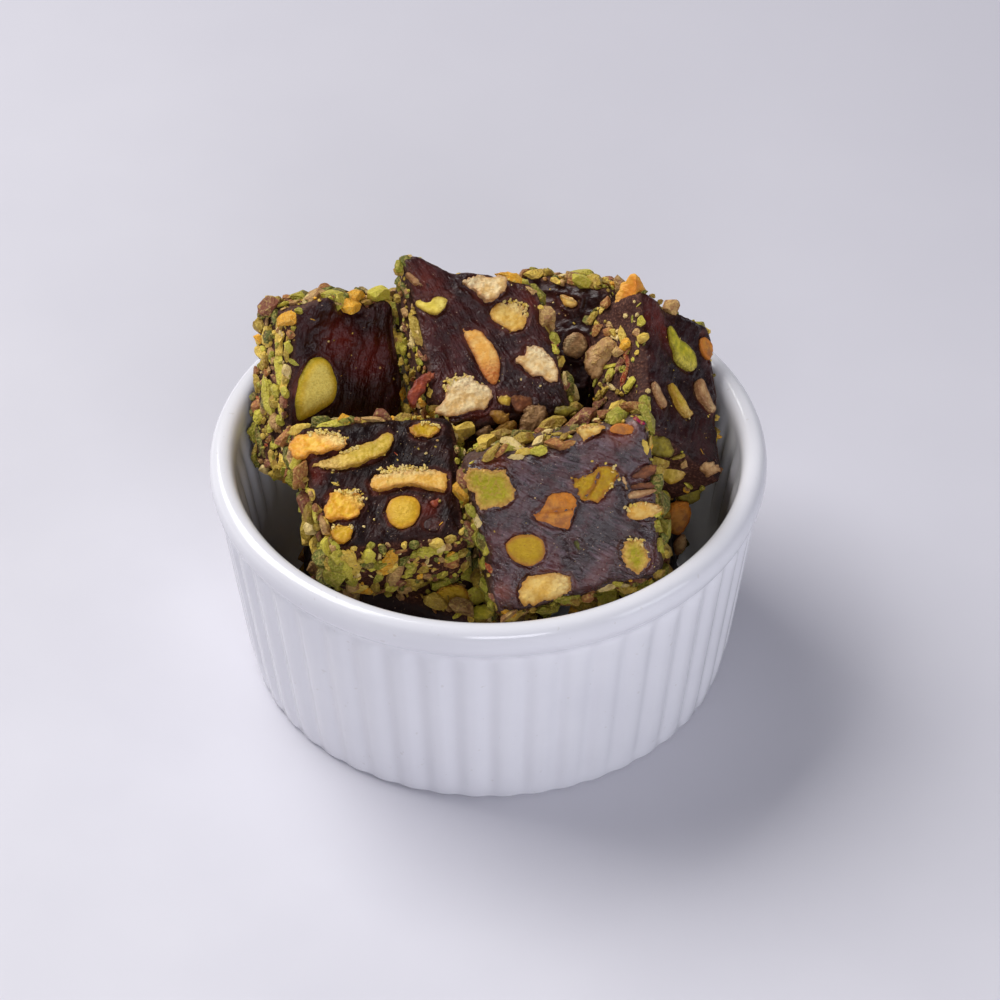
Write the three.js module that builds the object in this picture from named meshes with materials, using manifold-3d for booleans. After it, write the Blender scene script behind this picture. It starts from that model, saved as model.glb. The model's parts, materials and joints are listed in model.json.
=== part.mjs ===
// Slices of nut-studded Turkish delight heaped in a fluted porcelain ramekin.
// Millimetres, +Z up. The origin is the centre of the ramekin's foot, on the surface it stands on.

import * as THREE from "three";
import { mergeVertices } from "three/addons/utils/BufferGeometryUtils.js";
import Module from "manifold-3d";

const wasm = await Module();
wasm.setup();

// ---- Ramekin ----
const ramekin = {
  height: 41.5,
  rimRadius: 45,
  lipWidth: 4.3,
  lipHeight: 6,
  crown: 1.7,
  bodyTopRadius: 43.3,
  baseRadius: 39,
  baseRound: 0.9,
  wellTopRadius: 40.7,
  wellBaseRadius: 36,
  wellFillet: 4,
  floor: 4,
  flutes: 48,
  fluteDepth: 0.8,
  fluteSharpness: 5,
  columnsPerFlute: 4,
  lipColumns: 84,
  wellColumns: 72,
  footColumns: 48,
  footRadius: 35.5,
  footRecess: 0.8,
};

// ---- Slices ----
// A slice is a block cut from a slab: two bare cut faces, front and back, and four sides rolled in
// crushed nuts. Its own frame has x along the front face, y up it and z out of it. It is turned by
// roll, then lean (0 lies flat, 90 stands upright), then yaw. size is width, height and thickness.
// taper widens the face towards its top and towards its right, skew slides its top sideways, and
// tug moves one corner. A kernel is [x, y, length, width, turn] on the front face. A stud is a large
// piece of nut on a side, [side, along, across, length, width, turn], with along (x or y) and
// across (z) from -1 to 1 and turn from along towards across.
const slices = [
  {
    name: "slice_front_left",
    at: [-16.3, -14.6, 41.8], yaw: 6, lean: 19, roll: 1, size: [23, 22.5, 15.5],
    taper: [0.12, -0.02], skew: -1.2, dish: 0.7, crumbs: 20, backKernels: 2,
    kernels: [
      [-8.3, 7.3, 7, 4, 8],
      [-3.8, 4.8, 11.6, 3.2, 20],
      [3.7, -0.1, 12.2, 3.6, -3],
      [2, -5.7, 5.6, 5.6, 0],
      [-6.6, -3.8, 6.4, 5.2, 17],
    ],
    studs: [
      ["bottom", -0.86, 0.3, 7, 3.2, -78],
      ["bottom", -0.5, 0.45, 4.4, 3, 0],
      ["bottom", -0.08, 0.35, 5, 4, 27],
      ["bottom", 0.5, 0.6, 6.6, 2.2, 9],
      ["left", -0.3, 0.5, 4.6, 2.6, 0],
    ],
  },
  {
    name: "slice_front_right",
    at: [12, -17.5, 42.3], yaw: 5, lean: 56, roll: 10, size: [28, 25, 14.5],
    taper: [0.04, 0.01], skew: 0.8, dish: 0.5, crumbs: 18, backKernels: 2,
    kernels: [
      [-9.2, 7.4, 7, 6, 3],
      [-7.4, -3.1, 6, 5.2, -11],
      [-5.9, -8.8, 8.6, 4.6, 3],
      [-1.7, 1.7, 7.4, 5.2, 13],
      [5.4, 4.8, 8, 5, 15],
      [10.1, -1.4, 5.8, 3.2, -3],
      [8.8, -7.4, 5, 5.8, -10],
    ],
    studs: [
      ["top", -0.6, 0.75, 5.4, 2.4, 8],
      ["top", 0.5, 0.8, 4.4, 2.4, 0],
      ["bottom", -0.85, 0.75, 3.6, 2.6, 30],
      ["right", -0.1, 0.5, 4.2, 2.6, 0],
    ],
  },
  {
    name: "slice_back_left",
    at: [-25.9, 12.4, 43.4], yaw: 35, lean: 60, roll: -20, size: [20, 27.5, 14],
    taper: [-0.13, 0.03], skew: -0.6, dish: 1.1, crumbs: 22, backKernels: 2,
    kernels: [[-4.9, 0, 10.4, 6.8, -107]],
    studs: [
      ["left", 0.84, 0.75, 4, 2.8, 120],
      ["left", 0.35, 0.5, 8.4, 2.4, 0],
      ["left", -0.12, 0.1, 6, 2.6, 163],
      ["left", -0.3, -0.75, 5, 3.6, 78],
      ["left", -0.72, -0.6, 6.4, 3.2, 127],
    ],
  },
  {
    name: "slice_top",
    at: [-1.2, 12.2, 48.6], yaw: 22, lean: 31, roll: -14, size: [22, 25, 14.5],
    taper: [-0.02, -0.12], skew: -1.9, dish: 0.9, crumbs: 18, backKernels: 2,
    tug: { corner: [-1, 1, 1], by: [0.4, 1.4, 1.2] },
    kernels: [
      [0.4, 9.2, 7.8, 4.4, -25],
      [4.1, 4.4, 6.2, 5.4, 0],
      [-1.2, -0.8, 9.2, 3.9, -67],
      [-4.8, -7.8, 8.8, 6.2, 24],
      [6.9, -3.3, 7.6, 5.2, -51],
    ],
    studs: [
      ["bottom", 0.08, 0.5, 5.8, 4.4, 80],
      ["bottom", 0.6, 0.5, 5.6, 4.8, 67],
      ["bottom", 0.92, -0.1, 3.4, 2.6, -64],
      ["left", -0.45, 0.5, 5.4, 3.4, 20],
    ],
  },
  {
    name: "slice_back",
    at: [10.7, 28.7, 39.5], yaw: -23, lean: 52, roll: -3, size: [20.5, 21, 13.5],
    taper: [-0.24, 0.09], skew: 1.5, dish: 0.5, crumbs: 12, backKernels: 2,
    kernels: [[2.6, 6.6, 4, 3, -5]],
    studs: [],
  },
  {
    name: "slice_back_right",
    at: [27, 10, 43.9], yaw: 71, lean: 54, roll: -67, size: [18.5, 25, 12.5],
    taper: [0, 0.05], skew: -2.6, dish: 0.8, crumbs: 16, backKernels: 1,
    kernels: [[-0.5, 6.1, 7.6, 3.8, -29], [-0.4, -3.4, 7.2, 2.6, -32], [5.2, 1, 6.2, 2.6, -37]],
    studs: [
      ["left", 0.84, 0.15, 7.4, 5, 38],
      ["left", 0.2, -0.5, 7, 5, 149],
      ["left", -0.15, 0.25, 5.6, 1.8, 0],
      ["bottom", -0.4, 0.7, 5.8, 3.8, -17],
      ["bottom", 0.5, 0.2, 6.4, 4.4, 28],
    ],
  },
];

// The lower slices stand on edge in a ring round one in the middle. A slice is placed by its
// bearing round the bowl, its distance from the axis and how far it leans back.
const lowerRing = [
  { name: "slice_low_front", bearing: -116, out: 23.4, size: [18.5, 25, 13], lean: 84 },
  { name: "slice_low_right", bearing: -13, out: 23.6, size: [20.5, 23.5, 13.5], lean: 86 },
  { name: "slice_low_back_right", bearing: 48, out: 23.4, size: [20, 21, 13], lean: 84 },
  { name: "slice_low_back_left", bearing: 108, out: 23.4, size: [18.5, 24, 13.5], lean: 87 },
  { name: "slice_low_left", bearing: 184, out: 23.8, size: [19, 23.5, 12.5], lean: 85 },
  { name: "slice_low_middle", bearing: 15, out: 1.5, size: [19, 27, 13], lean: 87 },
];
const lowerCrumbs = 7;

const edgeRound = 2.2;
const cutEdgeRound = 1.1;
const unevenness = 0.035;
const gap = 0.3;
const kernelDepth = 2.6;
const kernelCap = 0.42;
const kernelSink = 0.35;
const kernelUneven = 0.16;
const kernelTaper = 0.14;
const backKernel = { length: [7, 9], width: 5, spacing: 0.5, drift: 0.5 };
const crumb = { length: [3, 5], width: [1.8, 3], height: [0.9, 1.3] };
const crumbSink = 0.15;
const studHeight = 1.9;
const nutUneven = [0.9, 1.3];
const neighbourReach = 40;

// The crumbs of a side step along and across it by these shares, which spreads them evenly.
const spread = { along: 0.618, across: 0.382, drift: 0.25, extent: 0.9 };

const sides = {
  left: { outward: new THREE.Vector3(-1, 0, 0), along: new THREE.Vector3(0, 1, 0), turning: -1 },
  right: { outward: new THREE.Vector3(1, 0, 0), along: new THREE.Vector3(0, 1, 0), turning: 1 },
  top: { outward: new THREE.Vector3(0, 1, 0), along: new THREE.Vector3(1, 0, 0), turning: -1 },
  bottom: { outward: new THREE.Vector3(0, -1, 0), along: new THREE.Vector3(1, 0, 0), turning: 1 },
};

// ---- Materials ----
const porcelain = new THREE.MeshStandardMaterial({ color: 0xf1f1f4, roughness: 0.15 });
const jelly = new THREE.MeshStandardMaterial({ color: 0x3a2228, roughness: 0.45 });
const pistachio = new THREE.MeshStandardMaterial({ color: 0xcbb45a, roughness: 0.6 });

// ---- Helpers ----
function seeded(seed) {
  let state = seed >>> 0;
  return () => {
    state = (state + 0x6d2b79f5) >>> 0;
    let mixed = Math.imul(state ^ (state >>> 15), 1 | state);
    mixed = (mixed + Math.imul(mixed ^ (mixed >>> 7), 61 | mixed)) ^ mixed;
    return ((mixed ^ (mixed >>> 14)) >>> 0) / 4294967296;
  };
}

function between(random, [low, high]) {
  return low + (high - low) * random();
}

function welded(geometry) {
  geometry.deleteAttribute("normal");
  geometry.deleteAttribute("uv");
  return mergeVertices(geometry, 1e-4);
}

function toSolid(geometry) {
  const vertProperties = new Float32Array(geometry.getAttribute("position").array);
  const triVerts = new Uint32Array(geometry.getIndex().array);
  return new wasm.Manifold(new wasm.Mesh({ numProp: 3, vertProperties, triVerts }));
}

function toGeometry(solid) {
  const mesh = solid.getMesh();
  const geometry = new THREE.BufferGeometry();
  geometry.setAttribute("position", new THREE.BufferAttribute(mesh.vertProperties, 3));
  geometry.setIndex(new THREE.BufferAttribute(mesh.triVerts, 1));
  return geometry;
}

function roughened(geometry, random, amount) {
  const position = geometry.getAttribute("position");
  for (let i = 0; i < position.count; i += 1) {
    const shrink = 1 - amount * random();
    position.setXYZ(i, position.getX(i) * shrink, position.getY(i) * shrink, position.getZ(i) * shrink);
  }
  return geometry;
}

// ---- Ramekin ----
function turned(profile, columns) {
  const points = profile.map(([radius, height]) => new THREE.Vector2(radius, height));
  return welded(new THREE.LatheGeometry(points, columns)).rotateX(Math.PI / 2);
}

function flutedBody() {
  const r = ramekin;
  const top = r.height - r.lipHeight + 1;
  const slope = (r.bodyTopRadius - r.baseRadius) / (r.height - r.lipHeight);
  const body = turned(
    [
      [0, 0],
      [r.baseRadius - r.baseRound, 0],
      [r.baseRadius, r.baseRound],
      [r.baseRadius + slope * top, top],
      [0, top],
    ],
    r.flutes * r.columnsPerFlute,
  );
  const position = body.getAttribute("position");
  for (let i = 0; i < position.count; i += 1) {
    const x = position.getX(i);
    const y = position.getY(i);
    const radius = Math.hypot(x, y);
    if (radius > 1) {
      const ridge = Math.abs(Math.cos((Math.atan2(y, x) * r.flutes) / 2)) ** r.fluteSharpness;
      const scale = 1 - (r.fluteDepth * (1 - ridge)) / radius;
      position.setXY(i, x * scale, y * scale);
    }
  }
  return toSolid(body);
}

function lip() {
  const r = ramekin;
  const crownRadius = r.rimRadius - r.lipWidth / 2;
  const under = r.height - r.lipHeight;
  return toSolid(
    turned(
      [
        [0, under],
        [r.rimRadius - 1, under],
        [r.rimRadius - 0.2, under + 0.5],
        [r.rimRadius, under + 1.6],
        [r.rimRadius, r.height - r.crown],
        [r.rimRadius - 0.5, r.height - 0.6],
        [crownRadius + 0.8, r.height],
        [0, r.height],
      ],
      r.lipColumns,
    ),
  );
}

function well() {
  const r = ramekin;
  const crownRadius = r.rimRadius - r.lipWidth / 2;
  const diagonal = r.wellFillet * (1 - Math.SQRT1_2);
  return toSolid(
    turned(
      [
        [0, r.floor],
        [r.wellBaseRadius - r.wellFillet, r.floor],
        [r.wellBaseRadius - diagonal, r.floor + diagonal],
        [r.wellBaseRadius + 0.3, r.floor + r.wellFillet],
        [r.wellTopRadius, r.height - r.lipHeight + 2],
        [r.wellTopRadius, r.height - r.crown],
        [r.wellTopRadius + 0.5, r.height - 0.6],
        [crownRadius - 0.5, r.height],
        [crownRadius - 0.5, r.height + 2],
        [0, r.height + 2],
      ],
      r.wellColumns,
    ),
  );
}

function footRecess() {
  const r = ramekin;
  return toSolid(
    turned(
      [
        [0, -1],
        [r.footRadius, -1],
        [r.footRadius - 0.6, r.footRecess],
        [0, r.footRecess],
      ],
      r.footColumns,
    ),
  );
}

function makeRamekin() {
  const solid = flutedBody().add(lip()).subtract(well()).subtract(footRecess());
  return toGeometry(solid);
}

// ---- Slices ----
// Maps a point of the cube from -1 to 1 to the slice's own frame.
function onSlice(slice, x, y, z) {
  const [width, height, thickness] = slice.size;
  const [widen, heighten] = slice.taper;
  const hollow = slice.dish * Math.max(0, 1 - x * x) * Math.max(0, 1 - y * y) * z;
  const point = new THREE.Vector3(
    ((x * width) / 2) * (1 + widen * y) + slice.skew * y,
    ((y * height) / 2) * (1 + heighten * x),
    (z * thickness) / 2 - hollow,
  );
  if (slice.tug) {
    const [cornerX, cornerY, cornerZ] = slice.tug.corner;
    const nearX = Math.max(0, (x * cornerX + 0.2) / 1.2);
    const nearY = Math.max(0, (y * cornerY + 0.2) / 1.2);
    const near = nearX * nearY * Math.max(0, z * cornerZ);
    point.addScaledVector(new THREE.Vector3(...slice.tug.by), near * near);
  }
  return point;
}

// The bare block. The lines beside each edge are drawn close to it, and the edge is pulled in.
function bareSlice(slice, random) {
  const geometry = welded(new THREE.BoxGeometry(2, 2, 2, 4, 4, 4));
  const position = geometry.getAttribute("position");
  const inset = [
    1 - edgeRound / (slice.size[0] / 2),
    1 - edgeRound / (slice.size[1] / 2),
    1 - cutEdgeRound / (slice.size[2] / 2),
  ];
  for (let i = 0; i < position.count; i += 1) {
    const cube = [position.getX(i), position.getY(i), position.getZ(i)];
    const outer = cube.filter((c) => Math.abs(c) === 1).length;
    const place = cube.map((c, k) => {
      const far = inset[k] + (1 - inset[k]) / Math.sqrt(outer);
      return Math.sign(c) * (Math.abs(c) === 1 ? far : 2 * Math.abs(c) * inset[k]);
    });
    position.setXYZ(i, ...onSlice(slice, ...place).toArray());
  }
  return roughened(geometry, random, unevenness);
}

// A kernel cut flush with the slice: an egg-shaped plug with a blunt cap, grown for its socket.
function kernelPlug(slice, [x, y, length, width, turn], grow, face, seed) {
  const random = seeded(seed);
  const geometry = welded(new THREE.SphereGeometry(1, 8, 4).rotateX(Math.PI / 2));
  const position = geometry.getAttribute("position");
  for (let i = 0; i < position.count; i += 1) {
    const uneven = 1 + kernelUneven * (random() - 0.5);
    const taper = 1 + kernelTaper * position.getX(i);
    position.setXYZ(
      i,
      position.getX(i) * uneven * (length / 2 + grow),
      position.getY(i) * uneven * taper * (width / 2 + grow),
      Math.min(position.getZ(i), kernelCap) * (kernelDepth + grow),
    );
  }
  const [fullWidth, fullHeight] = slice.size;
  const spot = onSlice(slice, (2 * x) / fullWidth, (2 * y) / fullHeight, face);
  geometry.rotateZ(THREE.MathUtils.degToRad(turn));
  if (face < 0) {
    geometry.rotateX(Math.PI);
  }
  return geometry.translate(x, y, spot.z - face * kernelSink);
}

// An angular piece of nut pressed flat against a side, grown where room is tested.
function nutPiece(slice, { side, along, across, size, turn }, grow, seed) {
  const random = seeded(seed);
  const faceUp = new THREE.Quaternion().setFromUnitVectors(
    new THREE.Vector3(1, 1, 1).normalize(),
    new THREE.Vector3(0, 0, 1),
  );
  const geometry = welded(new THREE.OctahedronGeometry(1, 0)).applyQuaternion(faceUp);
  const position = geometry.getAttribute("position");
  for (let i = 0; i < position.count; i += 1) {
    const uneven = between(random, nutUneven);
    position.setXYZ(
      i,
      position.getX(i) * uneven * (size[0] / 2 + grow),
      position.getY(i) * uneven * (size[1] / 2 + grow),
      position.getZ(i) * (size[2] + grow),
    );
  }
  const { outward, along: alongAxis, turning } = sides[side];
  geometry.rotateZ(turning * THREE.MathUtils.degToRad(turn));
  const third = outward.clone().cross(alongAxis);
  geometry.applyMatrix4(new THREE.Matrix4().makeBasis(alongAxis, third, outward));
  const spot = outward.x === 0
    ? onSlice(slice, along, outward.y, across)
    : onSlice(slice, outward.x, along, across);
  spot.addScaledVector(outward, -crumbSink);
  return toSolid(geometry.translate(spot.x, spot.y, spot.z));
}

// Where the crumb of this rank lies along or across its side, from -1 to 1.
function spreadOut(rank, share, random) {
  return (((rank * share + spread.drift * random()) % 1) * 2 - 1) * spread.extent;
}

// The studs come first, then the coat's crumbs, spread evenly over the four sides.
function nutPieces(slice, random) {
  const pieces = slice.studs.map(([side, along, across, length, width, turn]) => {
    return { side, along, across, turn, size: [length, width, studHeight] };
  });
  const names = Object.keys(sides);
  for (let k = 0; k < slice.crumbs; k += 1) {
    const rank = Math.floor(k / names.length);
    pieces.push({
      side: names[k % names.length],
      along: spreadOut(rank, spread.along, random),
      across: spreadOut(rank, spread.across, random),
      turn: 180 * random(),
      size: [crumb.length, crumb.width, crumb.height].map((range) => between(random, range)),
    });
  }
  return pieces;
}

// The nest of turned groups that carries a slice and its kernels.
function holder(slice) {
  const yaw = new THREE.Group();
  const lean = new THREE.Group();
  const roll = new THREE.Group();
  yaw.position.set(...slice.at);
  yaw.rotation.z = THREE.MathUtils.degToRad(slice.yaw);
  lean.rotation.x = THREE.MathUtils.degToRad(slice.lean);
  roll.rotation.z = THREE.MathUtils.degToRad(slice.roll);
  yaw.add(lean);
  lean.add(roll);
  yaw.updateMatrixWorld(true);
  return { outer: yaw, inner: roll };
}

function standingSlice(place, index) {
  const bearing = THREE.MathUtils.degToRad(place.bearing);
  const [, height, thickness] = place.size;
  const tilt = THREE.MathUtils.degToRad(90 - place.lean);
  const centre = ramekin.floor + gap + (height / 2) * Math.cos(tilt) + (thickness / 2) * Math.sin(tilt);
  return {
    name: place.name,
    at: [place.out * Math.cos(bearing), place.out * Math.sin(bearing), centre],
    yaw: place.bearing + 90,
    lean: place.lean,
    roll: 0,
    size: place.size,
    taper: [0.04, 0.03 - 0.01 * index],
    skew: 0,
    dish: 0.4,
    crumbs: lowerCrumbs,
    backKernels: 0,
    kernels: [],
    studs: [],
  };
}

function placed(geometry, from, to) {
  const across = to.inner.matrixWorld.clone().invert().multiply(from.inner.matrixWorld);
  return geometry.clone().applyMatrix4(across);
}

function named(name, geometry, material) {
  const mesh = new THREE.Mesh(geometry, material);
  mesh.name = name;
  return mesh;
}

// ---- Assembly ----
function cutSlice(slice, index) {
  const random = seeded(101 + 17 * index);
  let solid = toSolid(bareSlice(slice, random));
  const kernels = slice.kernels.map((kernel, k) => {
    const seed = 31 * index + k;
    solid = solid.subtract(toSolid(kernelPlug(slice, kernel, gap, 1, seed)));
    return kernelPlug(slice, kernel, 0, 1, seed);
  });
  return { slice, random, kernels, holder: holder(slice), geometry: toGeometry(solid) };
}

// What the coat of a piece has to stay clear of, in that piece's own frame.
function neighbours(piece, all, bowl) {
  const found = [toSolid(placed(bowl.geometry, bowl.holder, piece.holder))];
  for (const other of all) {
    const apart = other.holder.outer.position.distanceTo(piece.holder.outer.position);
    const near = other === piece || apart < neighbourReach;
    if (near) {
      other.kernels.forEach((kernel) => found.push(toSolid(placed(kernel, other.holder, piece.holder))));
    }
    if (near && other !== piece) {
      found.push(toSolid(placed(other.geometry, other.holder, piece.holder)));
    }
  }
  return found;
}

function coat(piece, all, bowl) {
  const { slice, random } = piece;
  const obstacles = neighbours(piece, all, bowl);
  const fits = (room) => obstacles.every((obstacle) => room.intersect(obstacle).isEmpty());
  let solid = toSolid(piece.geometry);
  nutPieces(slice, random).forEach((nut, k) => {
    if (fits(nutPiece(slice, nut, gap, k))) {
      solid = solid.add(nutPiece(slice, nut, 0, k));
    }
  });
  for (let k = 0; k < slice.backKernels; k += 1) {
    const x = (k - 0.5) * backKernel.spacing * slice.size[0];
    const y = (random() - 0.5) * backKernel.drift * slice.size[1];
    const kernel = [x, y, between(random, backKernel.length), backKernel.width, 180 * random()];
    if (fits(toSolid(kernelPlug(slice, kernel, gap, -1, k)))) {
      solid = solid.add(toSolid(kernelPlug(slice, kernel, 0, -1, k)));
    }
  }
  return toGeometry(solid);
}

const delight = new THREE.Group();
delight.name = "turkish_delight";

const still = new THREE.Group();
const bowl = { geometry: makeRamekin(), holder: { outer: still, inner: still } };
delight.add(named("ramekin", bowl.geometry, porcelain));

const pieces = [...slices, ...lowerRing.map(standingSlice)].map(cutSlice);
for (const piece of pieces) {
  piece.geometry = coat(piece, pieces, bowl);
  const { outer, inner } = piece.holder;
  inner.add(named(piece.slice.name, piece.geometry, jelly));
  piece.kernels.forEach((kernel, k) => {
    inner.add(named(`${piece.slice.name}_kernel_${k + 1}`, kernel, pistachio));
  });
  delight.add(outer);
}

export default delight;
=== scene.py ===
import json
import math
import random

import bmesh
import bpy
import numpy as np
from mathutils import Matrix, Vector
from mathutils.bvhtree import BVHTree

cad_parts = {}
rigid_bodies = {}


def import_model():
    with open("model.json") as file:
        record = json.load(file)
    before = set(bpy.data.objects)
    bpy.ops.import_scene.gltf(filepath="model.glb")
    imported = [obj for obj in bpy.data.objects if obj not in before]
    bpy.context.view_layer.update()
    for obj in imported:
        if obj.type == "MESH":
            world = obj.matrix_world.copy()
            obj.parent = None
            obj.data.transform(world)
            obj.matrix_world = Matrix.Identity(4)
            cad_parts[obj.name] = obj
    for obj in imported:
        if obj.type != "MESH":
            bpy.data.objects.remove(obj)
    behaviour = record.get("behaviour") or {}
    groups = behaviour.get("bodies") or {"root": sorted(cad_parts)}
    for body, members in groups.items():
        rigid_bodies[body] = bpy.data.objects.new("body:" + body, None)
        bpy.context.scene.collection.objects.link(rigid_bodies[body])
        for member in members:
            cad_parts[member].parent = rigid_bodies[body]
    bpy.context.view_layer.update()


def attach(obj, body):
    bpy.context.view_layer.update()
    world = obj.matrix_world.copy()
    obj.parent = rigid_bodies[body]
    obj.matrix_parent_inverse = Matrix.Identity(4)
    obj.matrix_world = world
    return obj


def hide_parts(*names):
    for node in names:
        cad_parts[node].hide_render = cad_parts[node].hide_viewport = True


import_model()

mm = 0.001
scene = bpy.context.scene


def activate(piece):
    bpy.ops.object.select_all(action="DESELECT")
    piece.select_set(True)
    bpy.context.view_layer.objects.active = piece


def startEditing(piece, mode="VERT"):
    activate(piece)
    bpy.ops.object.mode_set(mode="EDIT")
    bpy.ops.mesh.select_mode(type=mode)
    bpy.ops.mesh.select_all(action="DESELECT")


def stopEditing():
    bpy.ops.object.mode_set(mode="OBJECT")


def pick(piece, kind, test):
    # kind is verts, edges or faces
    bpy.ops.mesh.select_all(action="DESELECT")
    cage = bmesh.from_edit_mesh(piece.data)
    for part in getattr(cage, kind):
        if test(part):
            part.select_set(True)
    cage.select_flush_mode()
    bmesh.update_edit_mesh(piece.data)


def applyModifier(piece, kind, **settings):
    modifier = piece.modifiers.new(kind, kind)
    for key, value in settings.items():
        setattr(modifier, key, value)
    activate(piece)
    bpy.ops.object.modifier_apply(modifier=modifier.name)


def newPiece(name):
    piece = bpy.context.active_object
    piece.name = name
    piece.data.name = name
    return piece


def joinPieces(name, parts):
    bpy.ops.object.select_all(action="DESELECT")
    for part in parts:
        part.select_set(True)
    bpy.context.view_layer.objects.active = parts[0]
    bpy.ops.object.join()
    return newPiece(name)


def placePiece(piece, matrix, material):
    piece.matrix_world = matrix
    activate(piece)
    bpy.ops.object.transform_apply(location=True, rotation=True, scale=True)
    piece.data.materials.append(material)


def cloudTexture(name, scale, depth=2):
    texture = bpy.data.textures.new(name, "CLOUDS")
    texture.noise_scale = scale
    texture.noise_depth = depth
    return texture


def weigh(piece, name, weights):
    group = piece.vertex_groups.new(name=name)
    for index, weight in enumerate(weights):
        if weight > 0.004:
            group.add([index], float(min(1, weight)), "REPLACE")
    return name


def vertexPlaces(piece):
    places = np.empty(len(piece.data.vertices) * 3)
    piece.data.vertices.foreach_get("co", places)
    return places.reshape(-1, 3)


def vertexNormals(piece):
    normals = np.empty(len(piece.data.vertices) * 3)
    piece.data.vertices.foreach_get("normal", normals)
    return normals.reshape(-1, 3)


def paint(piece, name, values, kind="FLOAT"):
    attribute = piece.data.attributes.new(name, kind, "POINT")
    key = {"FLOAT": "value", "FLOAT_VECTOR": "vector"}[kind]
    attribute.data.foreach_set(key, np.ascontiguousarray(values, dtype=np.float32).ravel())


def smooth(values, low, high):
    share = np.clip((values - low) / (high - low), 0, 1)
    return share * share * (3 - 2 * share)


def tint(red, green, blue):
    # a colour as a paint program shows it, from 0 to 255
    def linear(value):
        share = value / 255
        return share / 12.92 if share <= 0.04045 else ((share + 0.055) / 1.055) ** 2.4
    return [linear(red), linear(green), linear(blue), 1.0]


def inRange(value, low=-1, high=1):
    return max(low, min(high, value))


def lineDistance(x, y, first, second):
    (ax, ay), (bx, by) = first, second
    along = np.clip(((x - ax) * (bx - ax) + (y - ay) * (by - ay)) / ((bx - ax) ** 2 + (by - ay) ** 2), 0, 1)
    return np.hypot(x - ax - along * (bx - ax), y - ay - along * (by - ay))


# distance to an outline, below 0 inside it
def outlineDistance(x, y, outline):
    nearest = np.full(len(x), 1e9)
    inside = np.zeros(len(x), dtype=bool)
    for (ax, ay), (bx, by) in zip(outline, outline[1:] + outline[:1]):
        nearest = np.minimum(nearest, lineDistance(x, y, (ax, ay), (bx, by)))
        if ay != by:
            crossing = (y > ay) != (y > by)
            inside ^= crossing & (x < ax + (y - ay) / (by - ay) * (bx - ax))
    return np.where(inside, -nearest, nearest)


cameraSettings = {
    "target": (1.87, 0, 29.66),
    "distance": 700,
    "elevation": 41.355,
    "roll": -0.29,
    "lens": 154.66,
}

lightSettings = {
    "sky": {"color": (0.9, 0.9, 1.0), "strength": 0.13},
    "aim": (0, 0, 0.03),
    "keyWindow": {"at": (-0.6, 0.42, 0.92), "size": (0.85, 0.85), "power": 15.4,
                  "color": (1.0, 0.985, 0.98)},
    "frontCard": {"at": (0.12, -0.95, 0.5), "size": (0.5, 0.34), "power": 4.0, "color": (0.93, 0.93, 1.0)},
    "rightCard": {"at": (0.95, -0.5, 0.35), "size": (0.6, 0.5), "power": 2.8, "color": (0.9, 0.92, 1.0)},
}


def makeCamera(settings):
    rise = math.radians(settings["elevation"])
    back = Vector((0, -math.cos(rise), math.sin(rise)))
    bpy.ops.object.camera_add(location=(Vector(settings["target"]) + back * settings["distance"]) * mm)
    camera = bpy.context.active_object
    camera.name = "viewCamera"
    turn = Matrix.Rotation(math.pi / 2 - rise, 4, "X")
    turn = turn @ Matrix.Rotation(math.radians(settings["roll"]), 4, "Z")
    camera.matrix_world = Matrix.Translation(camera.location) @ turn
    camera.data.lens = settings["lens"]
    camera.data.sensor_width = 36
    camera.data.clip_start = 0.01
    scene.camera = camera


def makeLight(name, settings):
    bpy.ops.object.light_add(type="AREA", location=settings["at"])
    light = bpy.context.active_object
    light.name = name
    light.data.shape = "RECTANGLE"
    light.data.size, light.data.size_y = settings["size"]
    light.data.energy = settings["power"]
    light.data.color = settings["color"]
    aim = Vector(lightSettings["aim"]) - Vector(settings["at"])
    light.rotation_euler = aim.to_track_quat("-Z", "Y").to_euler()


def makeSky(settings):
    world = bpy.data.worlds.new("paleRoom")
    scene.world = world
    world.use_nodes = True
    background = world.node_tree.nodes["Background"]
    background.inputs["Color"].default_value = (*settings["color"], 1)
    background.inputs["Strength"].default_value = settings["strength"]


scene.view_settings.view_transform = "Standard"
makeCamera(cameraSettings)
makeSky(lightSettings["sky"])
for light in ("keyWindow", "frontCard", "rightCard"):
    makeLight(light, lightSettings[light])
print("camera and light are set")


def newMaterial(name):
    material = bpy.data.materials.new(name)
    material.use_nodes = True
    tree = material.node_tree
    return material, tree, tree.nodes["Principled BSDF"]


def addNode(tree, kind, **values):
    node = tree.nodes.new(kind)
    for key, value in values.items():
        if hasattr(node, key):
            setattr(node, key, value)
        else:
            node.inputs[key.replace("_", " ")].default_value = value
    return node


def mathNode(tree, operation, first, second=None):
    node = tree.nodes.new("ShaderNodeMath")
    node.operation = operation
    node.use_clamp = operation in {"MULTIPLY", "ADD"}
    for socket, value in zip(node.inputs, (first, second)):
        if value is None:
            continue
        if isinstance(value, (int, float)):
            socket.default_value = value
        else:
            tree.links.new(value, socket)
    return node.outputs[0]


def times(tree, first, second):
    return mathNode(tree, "MULTIPLY", first, second)


def plus(tree, first, second):
    return mathNode(tree, "ADD", first, second)


def partly(tree, value, share, least):
    # from least upward by a share of the value
    return plus(tree, times(tree, value, share), least)


def mixNode(tree, share, first, second):
    node = tree.nodes.new("ShaderNodeMix")
    node.data_type = "RGBA"
    sockets = (node.inputs["Factor"], node.inputs[6], node.inputs[7])
    for socket, value in zip(sockets, (share, first, second)):
        if isinstance(value, (int, float, list, tuple)):
            socket.default_value = value
        else:
            tree.links.new(value, socket)
    return node.outputs[2]


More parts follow.
